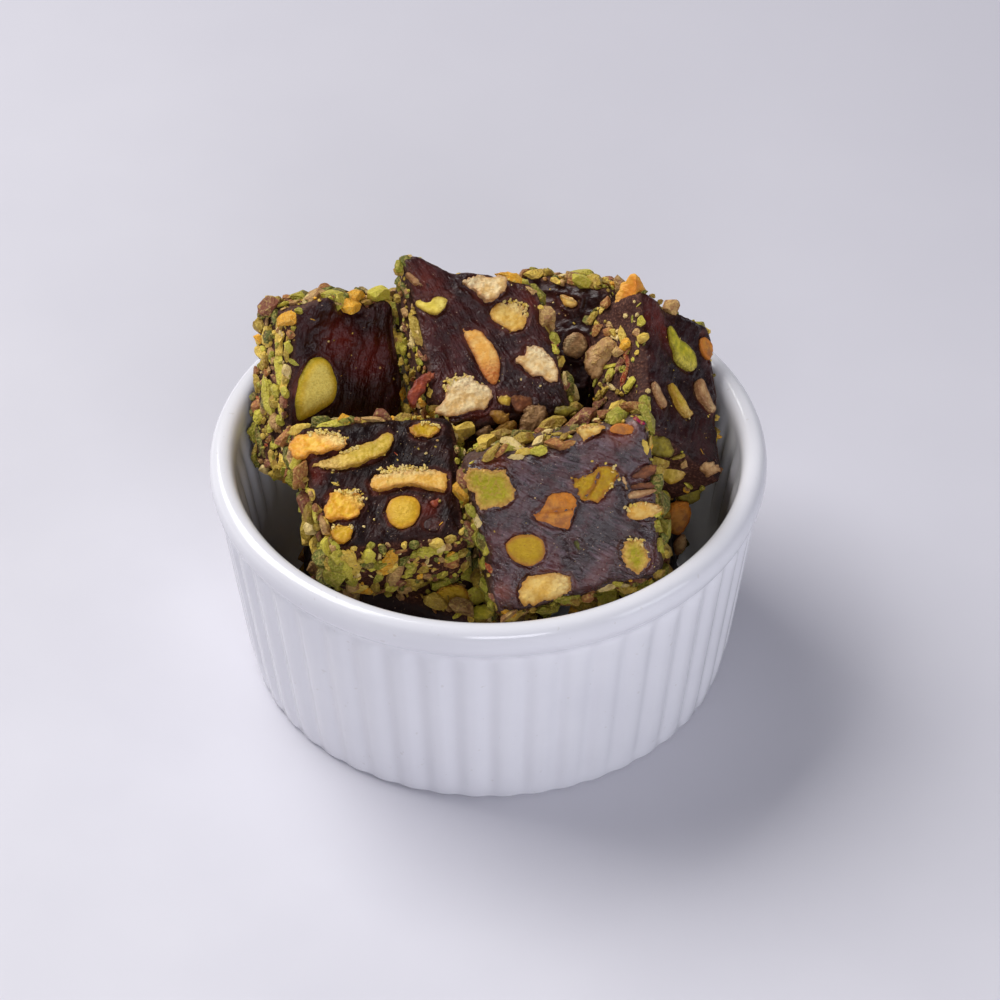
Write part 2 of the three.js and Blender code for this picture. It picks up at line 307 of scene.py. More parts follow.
# cloudy mottling between two values, as a colour share and as a height
def makeMottleGroup():
    group = bpy.data.node_groups.new("mottle", "ShaderNodeTree")
    group.interface.new_socket(name="Place", in_out="INPUT", socket_type="NodeSocketVector")
    for name in ("Scale", "Detail", "Low", "High"):
        group.interface.new_socket(name=name, in_out="INPUT", socket_type="NodeSocketFloat")
    for name in ("Share", "Height"):
        group.interface.new_socket(name=name, in_out="OUTPUT", socket_type="NodeSocketFloat")
    start = group.nodes.new("NodeGroupInput")
    end = group.nodes.new("NodeGroupOutput")
    cloud = group.nodes.new("ShaderNodeTexNoise")
    ramp = group.nodes.new("ShaderNodeMapRange")
    for source, target in (("Place", "Vector"), ("Scale", "Scale"), ("Detail", "Detail")):
        group.links.new(start.outputs[source], cloud.inputs[target])
    group.links.new(cloud.outputs["Fac"], ramp.inputs["Value"])
    group.links.new(start.outputs["Low"], ramp.inputs["From Min"])
    group.links.new(start.outputs["High"], ramp.inputs["From Max"])
    group.links.new(ramp.outputs["Result"], end.inputs["Share"])
    group.links.new(cloud.outputs["Fac"], end.inputs["Height"])
    return group


mottleGroup = makeMottleGroup()


def mottle(tree, place, scale, low, high, detail=3.0):
    node = tree.nodes.new("ShaderNodeGroup")
    node.node_tree = mottleGroup
    tree.links.new(place, node.inputs["Place"])
    for name, value in (("Scale", scale), ("Detail", detail), ("Low", low), ("High", high)):
        node.inputs[name].default_value = value
    return node.outputs["Share"], node.outputs["Height"]


def attributeOutput(tree, name, output):
    node = tree.nodes.new("ShaderNodeAttribute")
    node.attribute_name = name
    return node.outputs[output]


def stretched(tree, place, scale):
    node = tree.nodes.new("ShaderNodeMapping")
    node.inputs["Scale"].default_value = scale
    tree.links.new(place, node.inputs["Vector"])
    return node.outputs["Vector"]


def bumpInto(tree, shader, height, distance, strength=1.0):
    bump = tree.nodes.new("ShaderNodeBump")
    bump.inputs["Distance"].default_value = distance
    bump.inputs["Strength"].default_value = strength
    tree.links.new(height, bump.inputs["Height"])
    tree.links.new(bump.outputs["Normal"], shader.inputs["Normal"])


def makePorcelain():
    material, tree, shader = newMaterial("whiteGlaze")
    place = addNode(tree, "ShaderNodeTexCoord").outputs["Object"]
    cloud, height = mottle(tree, place, 60.0, 0.3, 0.7)
    speck, unused = mottle(tree, place, 900.0, 0.27, 0.22, 1.0)
    glaze = mixNode(tree, cloud, tint(224, 224, 230), tint(230, 230, 235))
    specked = mixNode(tree, times(tree, speck, 0.25), glaze, tint(190, 184, 176))
    tree.links.new(specked, shader.inputs["Base Color"])
    shader.inputs["Roughness"].default_value = 0.16
    shader.inputs["IOR"].default_value = 1.5
    bumpInto(tree, shader, height, 0.06 * mm)
    return material


jellyColors = {
    "ring": tint(116, 58, 44),       # thin jelly over the edge of a nut
    "sideDust": tint(118, 78, 60),
    "sideDark": tint(62, 30, 22),
    "fleck": tint(196, 160, 130),
}


def makeJellyMaterial(name, look):
    material, tree, shader = newMaterial(name)
    place = attributeOutput(tree, "cutSpace", "Vector")
    bare = attributeOutput(tree, "bare", "Fac")
    rim = attributeOutput(tree, "rim", "Fac")
    glow = attributeOutput(tree, "glow", "Fac")
    cloud, unused = mottle(tree, place, 0.22, 0.4, 0.62)
    patch, unused = mottle(tree, place, 0.26, 0.44, 0.6, 4.0)
    streak, streakHeight = mottle(tree, stretched(tree, place, (0.3, 2.2, 1.0)), 1.0, 0.42, 0.64, 8.0)
    grain, grainHeight = mottle(tree, place, 2.6, 0.5, 0.72, 4.0)
    darkSpeck, unused = mottle(tree, place, 1.3, 0.36, 0.28, 2.0)
    wave, waveHeight = mottle(tree, stretched(tree, place, (0.45, 1.3, 1.0)), 0.62, 0.4, 0.6, 3.0)
    fleck, unused = mottle(tree, place, 3.0, 0.705, 0.74, 2.0)
    body = mixNode(tree, cloud, look["deep"], look["warm"])
    # painted light shining through the thin jelly at the glow spots
    lit = mixNode(tree, glow, body, look["glow"])
    # painted sheen: the lamps' lavender reflection laid into the colour in streaks, waves and patches
    sheenStreak = times(tree, streak, partly(tree, wave, 0.6, 0.4))
    sheen = times(tree, times(tree, sheenStreak, partly(tree, patch, 0.9, 0.1)), look["paintedSheenShare"])
    withPaintedSheen = mixNode(tree, sheen, lit, look["paintedSheen"])
    # darker specks of the deep tone, set at random
    darkSpecked = mixNode(tree, times(tree, darkSpeck, 0.7), withPaintedSheen, look["deep"])
    ringed = mixNode(tree, times(tree, rim, partly(tree, patch, 0.45, 0.1)), darkSpecked, jellyColors["ring"])
    flecked = mixNode(tree, times(tree, fleck, 0.7), ringed, jellyColors["fleck"])
    side = mixNode(tree, grain, jellyColors["sideDark"], jellyColors["sideDust"])
    tree.links.new(mixNode(tree, bare, side, flecked), shader.inputs["Base Color"])
    rough = partly(tree, plus(tree, grain, patch), 0.15, look["rough"])
    sideRough = times(tree, mathNode(tree, "SUBTRACT", 1.0, bare), 0.35)
    tree.links.new(plus(tree, rough, sideRough), shader.inputs["Roughness"])
    shader.inputs["IOR"].default_value = 1.46
    shader.inputs["Specular IOR Level"].default_value = look["shine"]
    height = plus(tree, times(tree, streakHeight, 0.22), times(tree, grainHeight, 0.2))
    bumpInto(tree, shader, plus(tree, height, times(tree, waveHeight, 0.58)), look["relief"] * mm)
    return material


def nutTones(light, deep, end, rim, paintedCreaseShade=0.55):
    tints = {"light": tint(*light), "deep": tint(*deep), "end": tint(*end), "rim": tint(*rim)}
    return {**tints, "paintedCreaseShade": paintedCreaseShade}


# light and deep flesh, the far end or middle of the nut, its edge, and how much of the edge's darker colour
# is laid into its creases as painted shade
nutKinds = {
    "apricot": nutTones((246, 192, 70), (238, 164, 46), (250, 224, 146), (204, 132, 44), 0.35),
    "leafGold": nutTones((216, 182, 70), (184, 154, 34), (238, 200, 116), (166, 120, 36)),
    "ivory": nutTones((234, 190, 96), (222, 166, 62), (238, 210, 142), (188, 126, 46)),
    "gold": nutTones((216, 168, 32), (196, 148, 20), (228, 184, 60), (182, 120, 30), 0.15),
    "amber": nutTones((244, 196, 62), (224, 162, 34), (240, 208, 112), (190, 114, 32)),
    "olive": nutTones((198, 158, 22), (178, 136, 14), (208, 168, 34), (166, 94, 42), 0.15),
    "egg": nutTones((222, 182, 46), (200, 162, 30), (255, 230, 118), (160, 140, 16), 0.05),
    "lemon": nutTones((240, 214, 92), (212, 188, 62), (240, 218, 112), (180, 146, 46)),
    "pyramid": nutTones((236, 160, 50), (216, 128, 34), (244, 186, 96), (238, 176, 70)),
    "leaf": nutTones((214, 198, 46), (166, 160, 26), (226, 206, 84), (130, 116, 34)),
    "rusty": nutTones((206, 138, 54), (164, 102, 50), (228, 142, 42), (190, 110, 38)),
    "cream": nutTones((244, 216, 160), (222, 180, 112), (246, 226, 178), (180, 124, 74)),
    "straw": nutTones((248, 208, 114), (230, 180, 78), (250, 222, 148), (186, 124, 50)),
    "honey": nutTones((250, 200, 116), (238, 174, 80), (196, 106, 38), (166, 90, 38), 0.3),
    "beige": nutTones((206, 164, 110), (166, 122, 76), (226, 192, 138), (136, 88, 54)),
    "brown": nutTones((142, 84, 46), (104, 56, 30), (166, 106, 60), (78, 40, 22)),
    "moss": nutTones((104, 108, 34), (66, 72, 26), (150, 144, 50), (60, 46, 24)),
    "red": nutTones((166, 76, 44), (132, 50, 30), (190, 104, 64), (104, 36, 22)),
    "pistachio": nutTones((220, 184, 84), (192, 154, 60), (176, 168, 20), (208, 150, 88), 0.4),
    # darker copies of the gold, cream and leaf kinds with painted shade, for nuts that lie in shadow
    "shadeGold": nutTones((160, 114, 28), (136, 92, 20), (176, 130, 42), (108, 64, 24), 0.3),
    "shadeCream": nutTones((158, 118, 74), (126, 90, 54), (186, 146, 96), (102, 64, 38)),
    "shadeLeaf": nutTones((154, 138, 34), (122, 108, 24), (168, 150, 48), (92, 76, 26)),
    "sunken": nutTones((70, 26, 17), (50, 16, 12), (80, 32, 20), (40, 12, 10)),
}


def makeNutMaterial(name, colors):
    material, tree, shader = newMaterial(name)
    place = attributeOutput(tree, "nutSpace", "Vector")
    rim = attributeOutput(tree, "nutRim", "Fac")
    far = attributeOutput(tree, "nutEnd", "Fac")
    cloud, unused = mottle(tree, place, 0.8, 0.42, 0.6)
    grain, grainHeight = mottle(tree, stretched(tree, place, (0.7, 1.4, 1.0)), 2.8, 0.4, 0.62, 6.0)
    fleck, unused = mottle(tree, place, 2.2, 0.66, 0.74, 3.0)
    crumb, unused = mottle(tree, place, 2.6, 0.52, 0.6, 6.0)
    crevice, creviceHeight = mottle(tree, place, 1.3, 0.5, 0.38, 8.0)
    worn = partly(tree, far, 0.65, 0.35)
    flesh = mixNode(tree, cloud, colors["deep"], colors["light"])
    turned = mixNode(tree, times(tree, far, partly(tree, grain, 0.4, 0.6)), flesh, colors["end"])
    rimmed = mixNode(tree, times(tree, rim, partly(tree, grain, 0.3, 0.65)), turned, colors["rim"])
    crumbed = mixNode(tree, times(tree, crumb, times(tree, worn, 0.5)), rimmed, colors["end"])
    # painted shade: the edge's darker colour laid into the low creases of the bump, more towards the worn
    # end
    creaseShadeMask = times(tree, crevice, times(tree, worn, colors["paintedCreaseShade"]))
    paintedCreaseShade = mixNode(tree, creaseShadeMask, crumbed, colors["rim"])
    flecked = mixNode(tree, times(tree, fleck, 0.6), paintedCreaseShade, colors["rim"])
    tree.links.new(flecked, shader.inputs["Base Color"])
    shader.inputs["Roughness"].default_value = 0.5
    shader.inputs["Specular IOR Level"].default_value = 0.3
    height = plus(tree, times(tree, grainHeight, 0.45), times(tree, creviceHeight, 0.55))
    bumpInto(tree, shader, times(tree, height, worn), 0.6 * mm)
    return material


def makeChipMaterial():
    material, tree, shader = newMaterial("crushedNut")
    place = stretched(tree, addNode(tree, "ShaderNodeTexCoord").outputs["Object"], (1000, 1000, 1000))
    node = tree.nodes.new("ShaderNodeAttribute")
    node.attribute_name = "chipColor"
    color, skin = node.outputs["Color"], node.outputs["Alpha"]
    cloud, unused = mottle(tree, place, 0.9, 0.34, 0.66)
    grain, grainHeight = mottle(tree, place, 2.4, 0.48, 0.62, 6.0)
    patch, unused = mottle(tree, place, 0.7, 0.5, 0.56)
    darker = tree.nodes.new("ShaderNodeMix")
    darker.data_type = "RGBA"
    darker.blend_type = "MULTIPLY"
    tree.links.new(times(tree, cloud, 0.5), darker.inputs["Factor"])
    tree.links.new(color, darker.inputs[6])
    darker.inputs[7].default_value = (0.62, 0.52, 0.28, 1)
    pale = mixNode(tree, times(tree, grain, 0.34), darker.outputs[2], tint(246, 220, 124))
    skinned = mixNode(tree, times(tree, patch, skin), pale, tint(128, 70, 48))
    tree.links.new(skinned, shader.inputs["Base Color"])
    shader.inputs["Roughness"].default_value = 0.55
    shader.inputs["Specular IOR Level"].default_value = 0.3
    bumpInto(tree, shader, grainHeight, 0.5 * mm)
    return material


# painted light falloff on the floor: the pale tints near the window and the darker tint far from it, and
# where it turns from one to the other
floorLook = {
    "near": (tint(220, 219, 226), tint(228, 227, 233)),
    "far": tint(188, 187, 197),
    "turns": (-0.16, 0.2),
    "slant": (2.2, -1.8),
}


def makeFloorMaterial():
    material, tree, shader = newMaterial("paleTable")
    place = addNode(tree, "ShaderNodeTexCoord").outputs["Object"]
    cloud, height = mottle(tree, place, 24.0, 0.3, 0.7)
    ramp = tree.nodes.new("ShaderNodeMapRange")
    ramp.inputs["From Min"].default_value, ramp.inputs["From Max"].default_value = floorLook["turns"]
    split = tree.nodes.new("ShaderNodeSeparateXYZ")
    tree.links.new(place, split.inputs[0])
    along = mathNode(tree, "DIVIDE", split.outputs["X"], floorLook["slant"][0])
    away = mathNode(tree, "DIVIDE", split.outputs["Y"], floorLook["slant"][1])
    tree.links.new(mathNode(tree, "SUBTRACT", along, away), ramp.inputs["Value"])
    near = mixNode(tree, cloud, *floorLook["near"])
    # painted light falloff: the floor's tint darkens away from the window
    tree.links.new(mixNode(tree, ramp.outputs[0], near, floorLook["far"]), shader.inputs["Base Color"])
    shader.inputs["Roughness"].default_value = 0.75
    bumpInto(tree, shader, height, 0.2 * mm)
    return material


porcelain = makePorcelain()
nutMaterials = {kind: makeNutMaterial(kind + "Nut", colors) for kind, colors in nutKinds.items()}
chipMaterial = makeChipMaterial()
print("materials are made")


bpy.ops.object.select_all(action="DESELECT")
bpy.ops.mesh.primitive_plane_add(size=6, location=(0, 0, 0))
floor = newPiece("tableTop")
floor.data.materials.append(makeFloorMaterial())


ramekinShape = {
    "flutes": 48,
    "columnsPerFlute": 14,
    "fluteDepth": 0.62,
    "ridgeSharpness": 3,
    "fluteFades": (0.2, 7.0, 33.6, 35.6),  # heights where the flutes begin, are full, start to end and end
    "footShare": 0.35,
    "plainInside": 38.2,      # radius up to which the foot stays plain
    "footRings": (22, 8),
    # radius and height, from the foot's recess outward and up, over the lip and down the inside
    "foot": [(34.6, 0.8), (35.2, 0.6), (35.5, 0.0), (37.6, 0.0), (38.3, 0.12), (38.75, 0.45), (39.03, 0.95)],
    "wallRings": 16,
    "wallTop": (43.22, 34.0),
    "lip": [
        (43.27, 34.5), (43.36, 34.95), (43.52, 35.35), (43.77, 35.75), (44.08, 36.15), (44.4, 36.6),
        (44.68, 37.1), (44.87, 37.7), (44.97, 38.4), (44.95, 39.2), (44.82, 39.95), (44.55, 40.6),
        (44.1, 41.1), (43.5, 41.4), (42.85, 41.5), (42.2, 41.4), (41.6, 41.08), (41.15, 40.5),
        (40.87, 39.7), (40.72, 38.7), (40.66, 37.4),
    ],
    "insideBottom": (36.35, 8.2),
    "insideRings": 8,
    "fillet": [(36.15, 6.9), (35.6, 5.7), (34.6, 4.75), (33.3, 4.2), (31.8, 4.0)],
    "floorRings": [24, 14, 5],
}


def ringsBetween(first, last, count):
    return [tuple(a + (b - a) * k / (count + 1) for a, b in zip(first, last)) for k in range(1, count + 1)]


def ramekinProfile(shape):
    rings = list(shape["foot"])
    rings += ringsBetween(rings[-1], shape["wallTop"], shape["wallRings"]) + [shape["wallTop"]]
    rings += shape["lip"]
    rings += ringsBetween(rings[-1], shape["insideBottom"], shape["insideRings"]) + [shape["insideBottom"]]
    rings += shape["fillet"]
    return rings + [(radius, shape["fillet"][-1][1]) for radius in shape["floorRings"]]


def extrudeRing(radius, height, fromRadius, fromHeight):
    bpy.ops.mesh.extrude_region_move(TRANSFORM_OT_translate={"value": (0, 0, (height - fromHeight) * mm)})
    share = radius / fromRadius
    bpy.ops.transform.resize(value=(share, share, 1), center_override=(0, 0, 0))


def makeRamekin(shape):
    columns = shape["flutes"] * shape["columnsPerFlute"]
    rings = ramekinProfile(shape)
    bpy.ops.object.select_all(action="DESELECT")
    radius, height = rings[0]
    bpy.ops.mesh.primitive_circle_add(vertices=columns, radius=radius * mm, location=(0, 0, height * mm))
    piece = newPiece("flutedRamekin")
    bpy.ops.object.transform_apply(location=True, rotation=True, scale=True)
    startEditing(piece)
    bpy.ops.mesh.select_all(action="SELECT")
    for (fromRadius, fromHeight), (radius, height) in zip(rings, rings[1:]):
        extrudeRing(radius, height, fromRadius, fromHeight)
    bpy.ops.mesh.merge(type="CENTER")
    firstRadius, firstHeight = rings[0]
    pick(piece, "verts", lambda v: abs(v.co.z - firstHeight * mm) < 1e-6
         and abs(v.co.xy.length - firstRadius * mm) < 1e-5)
    for radius in shape["footRings"]:
        extrudeRing(radius, firstHeight, firstRadius, firstHeight)
        firstRadius = radius
    bpy.ops.mesh.merge(type="CENTER")
    stopEditing()
    places = vertexPlaces(piece) / mm
    radius, height = np.hypot(places[:, 0], places[:, 1]), places[:, 2]
    start, full, easing, end = shape["fluteFades"]
    share = shape["footShare"] + (1 - shape["footShare"]) * smooth(height, start, full)
    share = share * smooth(height, 0, start) * (1 - smooth(height, easing, end))
    share = share * (radius > shape["plainInside"])
    angle = np.arctan2(places[:, 1], places[:, 0])
    ridge = np.abs(np.cos(angle * shape["flutes"] / 2)) ** shape["ridgeSharpness"]
    weigh(piece, "flutes", share * (1 - ridge))
    applyModifier(piece, "DISPLACE", vertex_group="flutes", strength=-shape["fluteDepth"] * mm, mid_level=0)
    piece.vertex_groups.clear()
    startEditing(piece)
    bpy.ops.mesh.select_all(action="SELECT")
    bpy.ops.mesh.normals_make_consistent(inside=False)
    stopEditing()
    bpy.ops.object.shade_smooth()
    piece.data.materials.append(porcelain)
    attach(piece, "root")
    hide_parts("ramekin")
    return piece


makeRamekin(ramekinShape)
print("ramekin is made")


# where each slice lies, how it is turned (yaw, lean, roll) and its size along, up and through; glows are
# spots and reaches of painted light shining through the thin jelly
sliceShapes = {
    "slice_front_left": {"at": (-16.3, -14.6, 41.8), "turn": (6, 19, 1), "size": (23, 22.5, 15.5),
                         "taper": (0.12, -0.02), "skew": -1.2, "dish": 0.7, "streaks": 62,
                         "glows": [((6, -6), 2.5), ((-11, 2), 3)]},
    "slice_front_right": {"at": (12, -17.5, 42.3), "turn": (5, 56, 10), "size": (28, 25, 14.5),
                          "taper": (0.04, 0.01), "skew": 0.8, "dish": 0.5, "streaks": -40,
                          "glows": [((-9, 12), 4), ((11, 11.5), 4), ((-13, -9), 3)]},
    "slice_back_left": {"at": (-25.9, 12.4, 43.4), "turn": (35, 60, -20), "size": (20, 27.5, 14),
                        "taper": (-0.13, 0.03), "skew": -0.6, "dish": 1.1, "streaks": 80,
                        "glows": [((-1, 8), 6), ((4, 5), 6)]},
    "slice_top": {"at": (-1.2, 12.2, 48.6), "turn": (22, 31, -14), "size": (22, 25, 14.5),
                  "taper": (-0.02, -0.12), "skew": -1.9, "dish": 0.9, "streaks": -65,
                  "glows": [((-9, 10), 5), ((-2, -11), 4), ((8, 8), 3.5)]},
    "slice_back": {"at": (10.7, 28.7, 39.5), "turn": (-23, 52, -3), "size": (20.5, 21, 13.5),
                   "taper": (-0.24, 0.09), "skew": 1.5, "dish": 0.5, "streaks": 30},
    "slice_back_right": {"at": (27, 10, 43.9), "turn": (71, 54, -67), "size": (18.5, 25, 12.5),
                         "taper": (0, 0.05), "skew": -2.6, "dish": 0.8, "streaks": 75,
                         "glows": [((-7, 8), 6)]},
}

# the lower slices stand on the ramekin's floor: bearing and distance from the middle, lean and size
lowSliceFoot = 4.3
lowSlices = {
    "slice_low_front": {"bearing": -116, "out": 23.4, "lean": 84, "size": (18.5, 25, 13)},
    "slice_low_right": {"bearing": -13, "out": 23.6, "lean": 86, "size": (20.5, 23.5, 13.5)},
    "slice_low_back_right": {"bearing": 48, "out": 23.4, "lean": 84, "size": (20, 21, 13)},
    "slice_low_back_left": {"bearing": 108, "out": 23.4, "lean": 87, "size": (18.5, 24, 13.5)},
    "slice_low_left": {"bearing": 184, "out": 23.8, "lean": 85, "size": (19, 23.5, 12.5)},
    "slice_low_middle": {"bearing": 15, "out": 1.5, "lean": 87, "size": (19, 27, 13)},
}

for index, (name, low) in enumerate(lowSlices.items()):
    bearing, tip = math.radians(low["bearing"]), math.radians(90 - low["lean"])
    rise = lowSliceFoot + low["size"][1] / 2 * math.cos(tip) + low["size"][2] / 2 * math.sin(tip)
    sliceShapes[name] = {"at": (low["out"] * math.cos(bearing), low["out"] * math.sin(bearing), rise),
                         "turn": (low["bearing"] + 90, low["lean"], 0), "size": low["size"],
                         "taper": (0.04, 0.03 - 0.01 * index), "skew": 0.0, "dish": 0.4, "streaks": 50}

jellyLook = {
    "voxel": 0.27,
    "lowVoxel": 0.6,
    "edgeRound": 2.0,
    "cutEdgeRound": 0.8,
    "swell": 0.5,        # how far the sides bulge
    # size and height of the unevenness
    "lumps": (7.0, 0.9),
    "cutRipples": (4.2, 0.9),
    "dents": (1.5, 0.85),
    "ripples": (2.2, 0.3),
    "grain": (0.7, 0.14),
    "groove": 0.3,       # depth of the gap round a kernel
    "grooveWidth": 0.24,
    "rimHeight": 0.22,   # jelly drawn up round it
    "rimWidth": 0.6,
    "evenWidth": 1.3,    # the jelly lies even beside a nut
    "cutSlope": (0.45, 0.8),      # how far a place faces through the slice where the cut begins and is full
    "cutCoat": 0.25,     # share of the coat's unevenness on a cut face
}

# where the jelly was pulled out of shape: place, reach and pull in millimetres
sliceTugs = {
    "slice_front_right": [
        ((0, 12.5, 6), 8, (0, -1.5, -0.4)), ((5, -12.5, 7), 5, (0, 0.5, -0.2)),
        ((14, 12.5, 6), 5, (0.3, 0.5, 0.3)), ((-13.5, -3, 7), 6, (0.7, 0, -0.4)),
    ],
    "slice_front_left": [
        ((3, 11.5, 6), 6, (0, 0.5, -0.5)), ((-12, -2, 7), 5, (-0.6, 0, 0.2)),
    ],
    "slice_top": [
        ((-11, 12.5, 6), 4.5, (-1.2, 1.9, 2.2)), ((-5, 11.5, 7), 4, (0, -1.3, -0.4)),
        ((4, -11.5, 6), 6, (0, 0.8, -0.9)), ((-9, -2, 7), 5, (0.7, 0, -0.3)),
        ((-10, -11.5, 7), 4, (0.8, 0.6, -0.4)), ((10.5, 4, 7), 4, (-0.6, 0, -0.2)),
    ],
    "slice_back_left": [
        ((-4.5, 13.5, 6), 4, (0, 1.6, 1.8)), ((1.5, 12.5, 7), 5, (0, -1.2, -1.0)),
        ((8, 13.0, 6), 4, (0, 0.5, 0.5)), ((-10, -1, 6), 6, (-0.7, 0, 0)),
    ],
    "slice_back_right": [
        ((-4, 10.5, 6), 4, (0, -1.6, -0.3)), ((3.4, 11.5, 6), 4, (0, 0.9, 0.2)),
        ((9, 4, 6), 6, (0.8, 0, -0.3)), ((9, -10, 6), 6, (1.2, 0.5, -0.2)),
    ],
    "slice_back": [
        ((0, 10, 6), 6, (0, -0.4, -0.3)),
    ],
}


def tugPull(name, places):
    # how far each place is pulled, places in millimetres in the slice's own frame
    pull = np.zeros_like(places)
    for at, reach, way in sliceTugs.get(name, []):
        share = 1 - smooth(np.linalg.norm(places - np.array(at), axis=1), 0, reach)
        pull += share[:, None] * np.array(way)
    return pull


# one corner pulled out further
cornerTugs = {"slice_top": ((-1, 1, 1), (0.4, 1.4, 1.2))}


def sliceTurn(shape):
    yaw, lean, roll = (math.radians(angle) for angle in shape["turn"])
    return Matrix.Rotation(yaw, 4, "Z") @ Matrix.Rotation(lean, 4, "X") @ Matrix.Rotation(roll, 4, "Z")


def slicePlace(shape):
    return Matrix.Translation(Vector(shape["at"]) * mm) @ sliceTurn(shape)


def onSlice(shape, x, y, z):
    # x, y and z run from -1 to 1 through the slice
    width, height, depth = shape["size"]
    widen, heighten = shape["taper"]
    return Vector((x * width / 2 * (1 + widen * y) + shape["skew"] * y,
                   y * height / 2 * (1 + heighten * x),
                   z * depth / 2 - shape["dish"] * (1 - x * x) * (1 - y * y) * z))


def faceHeight(shape, x, y):
    width, height, depth = shape["size"]
    across, up = min(1, abs(2 * x / width)), min(1, abs(2 * y / height))
    return depth / 2 - shape["dish"] * (1 - across ** 2) * (1 - up ** 2)


def makeBlock(name, shape):
    bpy.ops.object.select_all(action="DESELECT")
    bpy.ops.mesh.primitive_cube_add(size=2 * mm)
    piece = newPiece(name)
    startEditing(piece)
    for x in (-1, 1):
        for y in (-1, 1):
            for z in (-1, 1):
                here = Vector((x, y, z))
                to = onSlice(shape, x, y, z)
                if name in cornerTugs and cornerTugs[name][0] == (x, y, z):
                    to += Vector(cornerTugs[name][1])
                pick(piece, "verts", lambda v: (v.co - here * mm).length < 0.01 * mm)
                bpy.ops.transform.translate(value=(to - here) * mm)
    pick(piece, "edges", lambda e: e.verts[0].co.z * e.verts[1].co.z < 0)
    bpy.ops.mesh.bevel(offset=jellyLook["edgeRound"] * mm, segments=5, affect="EDGES")
    pick(piece, "edges", lambda e: sum(abs(f.normal.z) > 0.8 for f in e.link_faces) == 1)
    bpy.ops.mesh.bevel(offset=jellyLook["cutEdgeRound"] * mm, segments=4, affect="EDGES")
    stopEditing()
    return piece


def streakSpace(shape, places):
    angle = math.radians(shape["streaks"])
    along = places[:, 0] * math.cos(angle) + places[:, 1] * math.sin(angle)
    across = places[:, 1] * math.cos(angle) - places[:, 0] * math.sin(angle)
    return np.stack([along, across, places[:, 2]], axis=1)


def nutDistance(places, nuts):
    nearest = np.full(len(places), 50.0)
    for nut in nuts:
        nearest = np.minimum(nearest, outlineDistance(places[:, 0], places[:, 1], nut["outline"]))
    return nearest


def makeJellySlice(name, shape, material, nuts):
    piece = makeBlock(name, shape)
    low = name.startswith("slice_low")
    voxel = jellyLook["lowVoxel" if low else "voxel"] * mm
    applyModifier(piece, "REMESH", mode="VOXEL", voxel_size=voxel, use_smooth_shade=True)
    places, normals = vertexPlaces(piece) / mm, vertexNormals(piece)
    shares = (2 * places[:, axis] / shape["size"][axis] for axis in range(3))
    across, up, through = (np.clip(np.abs(share), 0, 1) for share in shares)
    cut = smooth(np.abs(normals[:, 2]), *jellyLook["cutSlope"])
    front = cut * (normals[:, 2] > 0)
    distance = nutDistance(places, nuts)
    rimWidth, grooveWidth = jellyLook["rimWidth"], jellyLook["grooveWidth"]
    rim = front * np.exp(-((distance - rimWidth) / rimWidth) ** 2)
    weigh(piece, "nutGaps", front * np.exp(-((distance - grooveWidth / 2) / grooveWidth) ** 2))
    weigh(piece, "hollow", cut * (1 - across ** 2) * (1 - up ** 2))
    weigh(piece, "belly", (1 - cut) * (1 - through ** 2))
    weigh(piece, "coated", 1 - cut * (1 - jellyLook["cutCoat"]))
    away = 1 - front * (1 - smooth(distance, 0.0, jellyLook["evenWidth"]))
    weigh(piece, "cut", cut * away)
    weigh(piece, "away", away)
    weigh(piece, "nutRims", rim)
    heights = {
        "hollow": -shape["dish"],
        "belly": jellyLook["swell"],
        "nutRims": jellyLook["rimHeight"],
        "nutGaps": -jellyLook["groove"],
    }
    for group, height in heights.items():
        applyModifier(piece, "DISPLACE", vertex_group=group, strength=height * mm, mid_level=0)
    pull = tugPull(name, places)
    for axis, letter in enumerate("XYZ"):
        for sign in (1, -1):
            reach = np.clip(pull[:, axis] * sign, 0, None)
            if reach.max() > 0.01:
                group = weigh(piece, "tug", reach / reach.max())
                applyModifier(piece, "DISPLACE", vertex_group=group, direction=letter, space="LOCAL",
                              strength=sign * reach.max() * mm, mid_level=0)
                piece.vertex_groups.remove(piece.vertex_groups[group])
    for key, group in (("lumps", "away"), ("cutRipples", "cut"), ("dents", "cut"), ("ripples", "coated"),
                       ("grain", "coated")):
        size, strength = jellyLook[key]
        applyModifier(piece, "DISPLACE", texture=cloudTexture(name + key, size * mm), texture_coords="LOCAL",
                      vertex_group=group, strength=strength * mm, mid_level=0.5)
    piece.vertex_groups.clear()
    paint(piece, "cutSpace", streakSpace(shape, places), "FLOAT_VECTOR")
    paint(piece, "bare", cut)
    paint(piece, "rim", np.clip(front * (1 - smooth(distance, 0.0, 1.0)), 0, 1))
    # painted glow: how near each place lies to a spot of light shining through the thin jelly
    glow = np.zeros(len(places))
    for (glowX, glowY), reach in shape.get("glows", []):
        glow = np.maximum(glow, 1 - smooth(np.hypot(places[:, 0] - glowX, places[:, 1] - glowY), 0, reach))
    paint(piece, "glow", glow * cut)
    placePiece(piece, slicePlace(shape), material)
    piece.name = name + "_jelly"
    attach(piece, "root")
    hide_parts(name)
    return piece


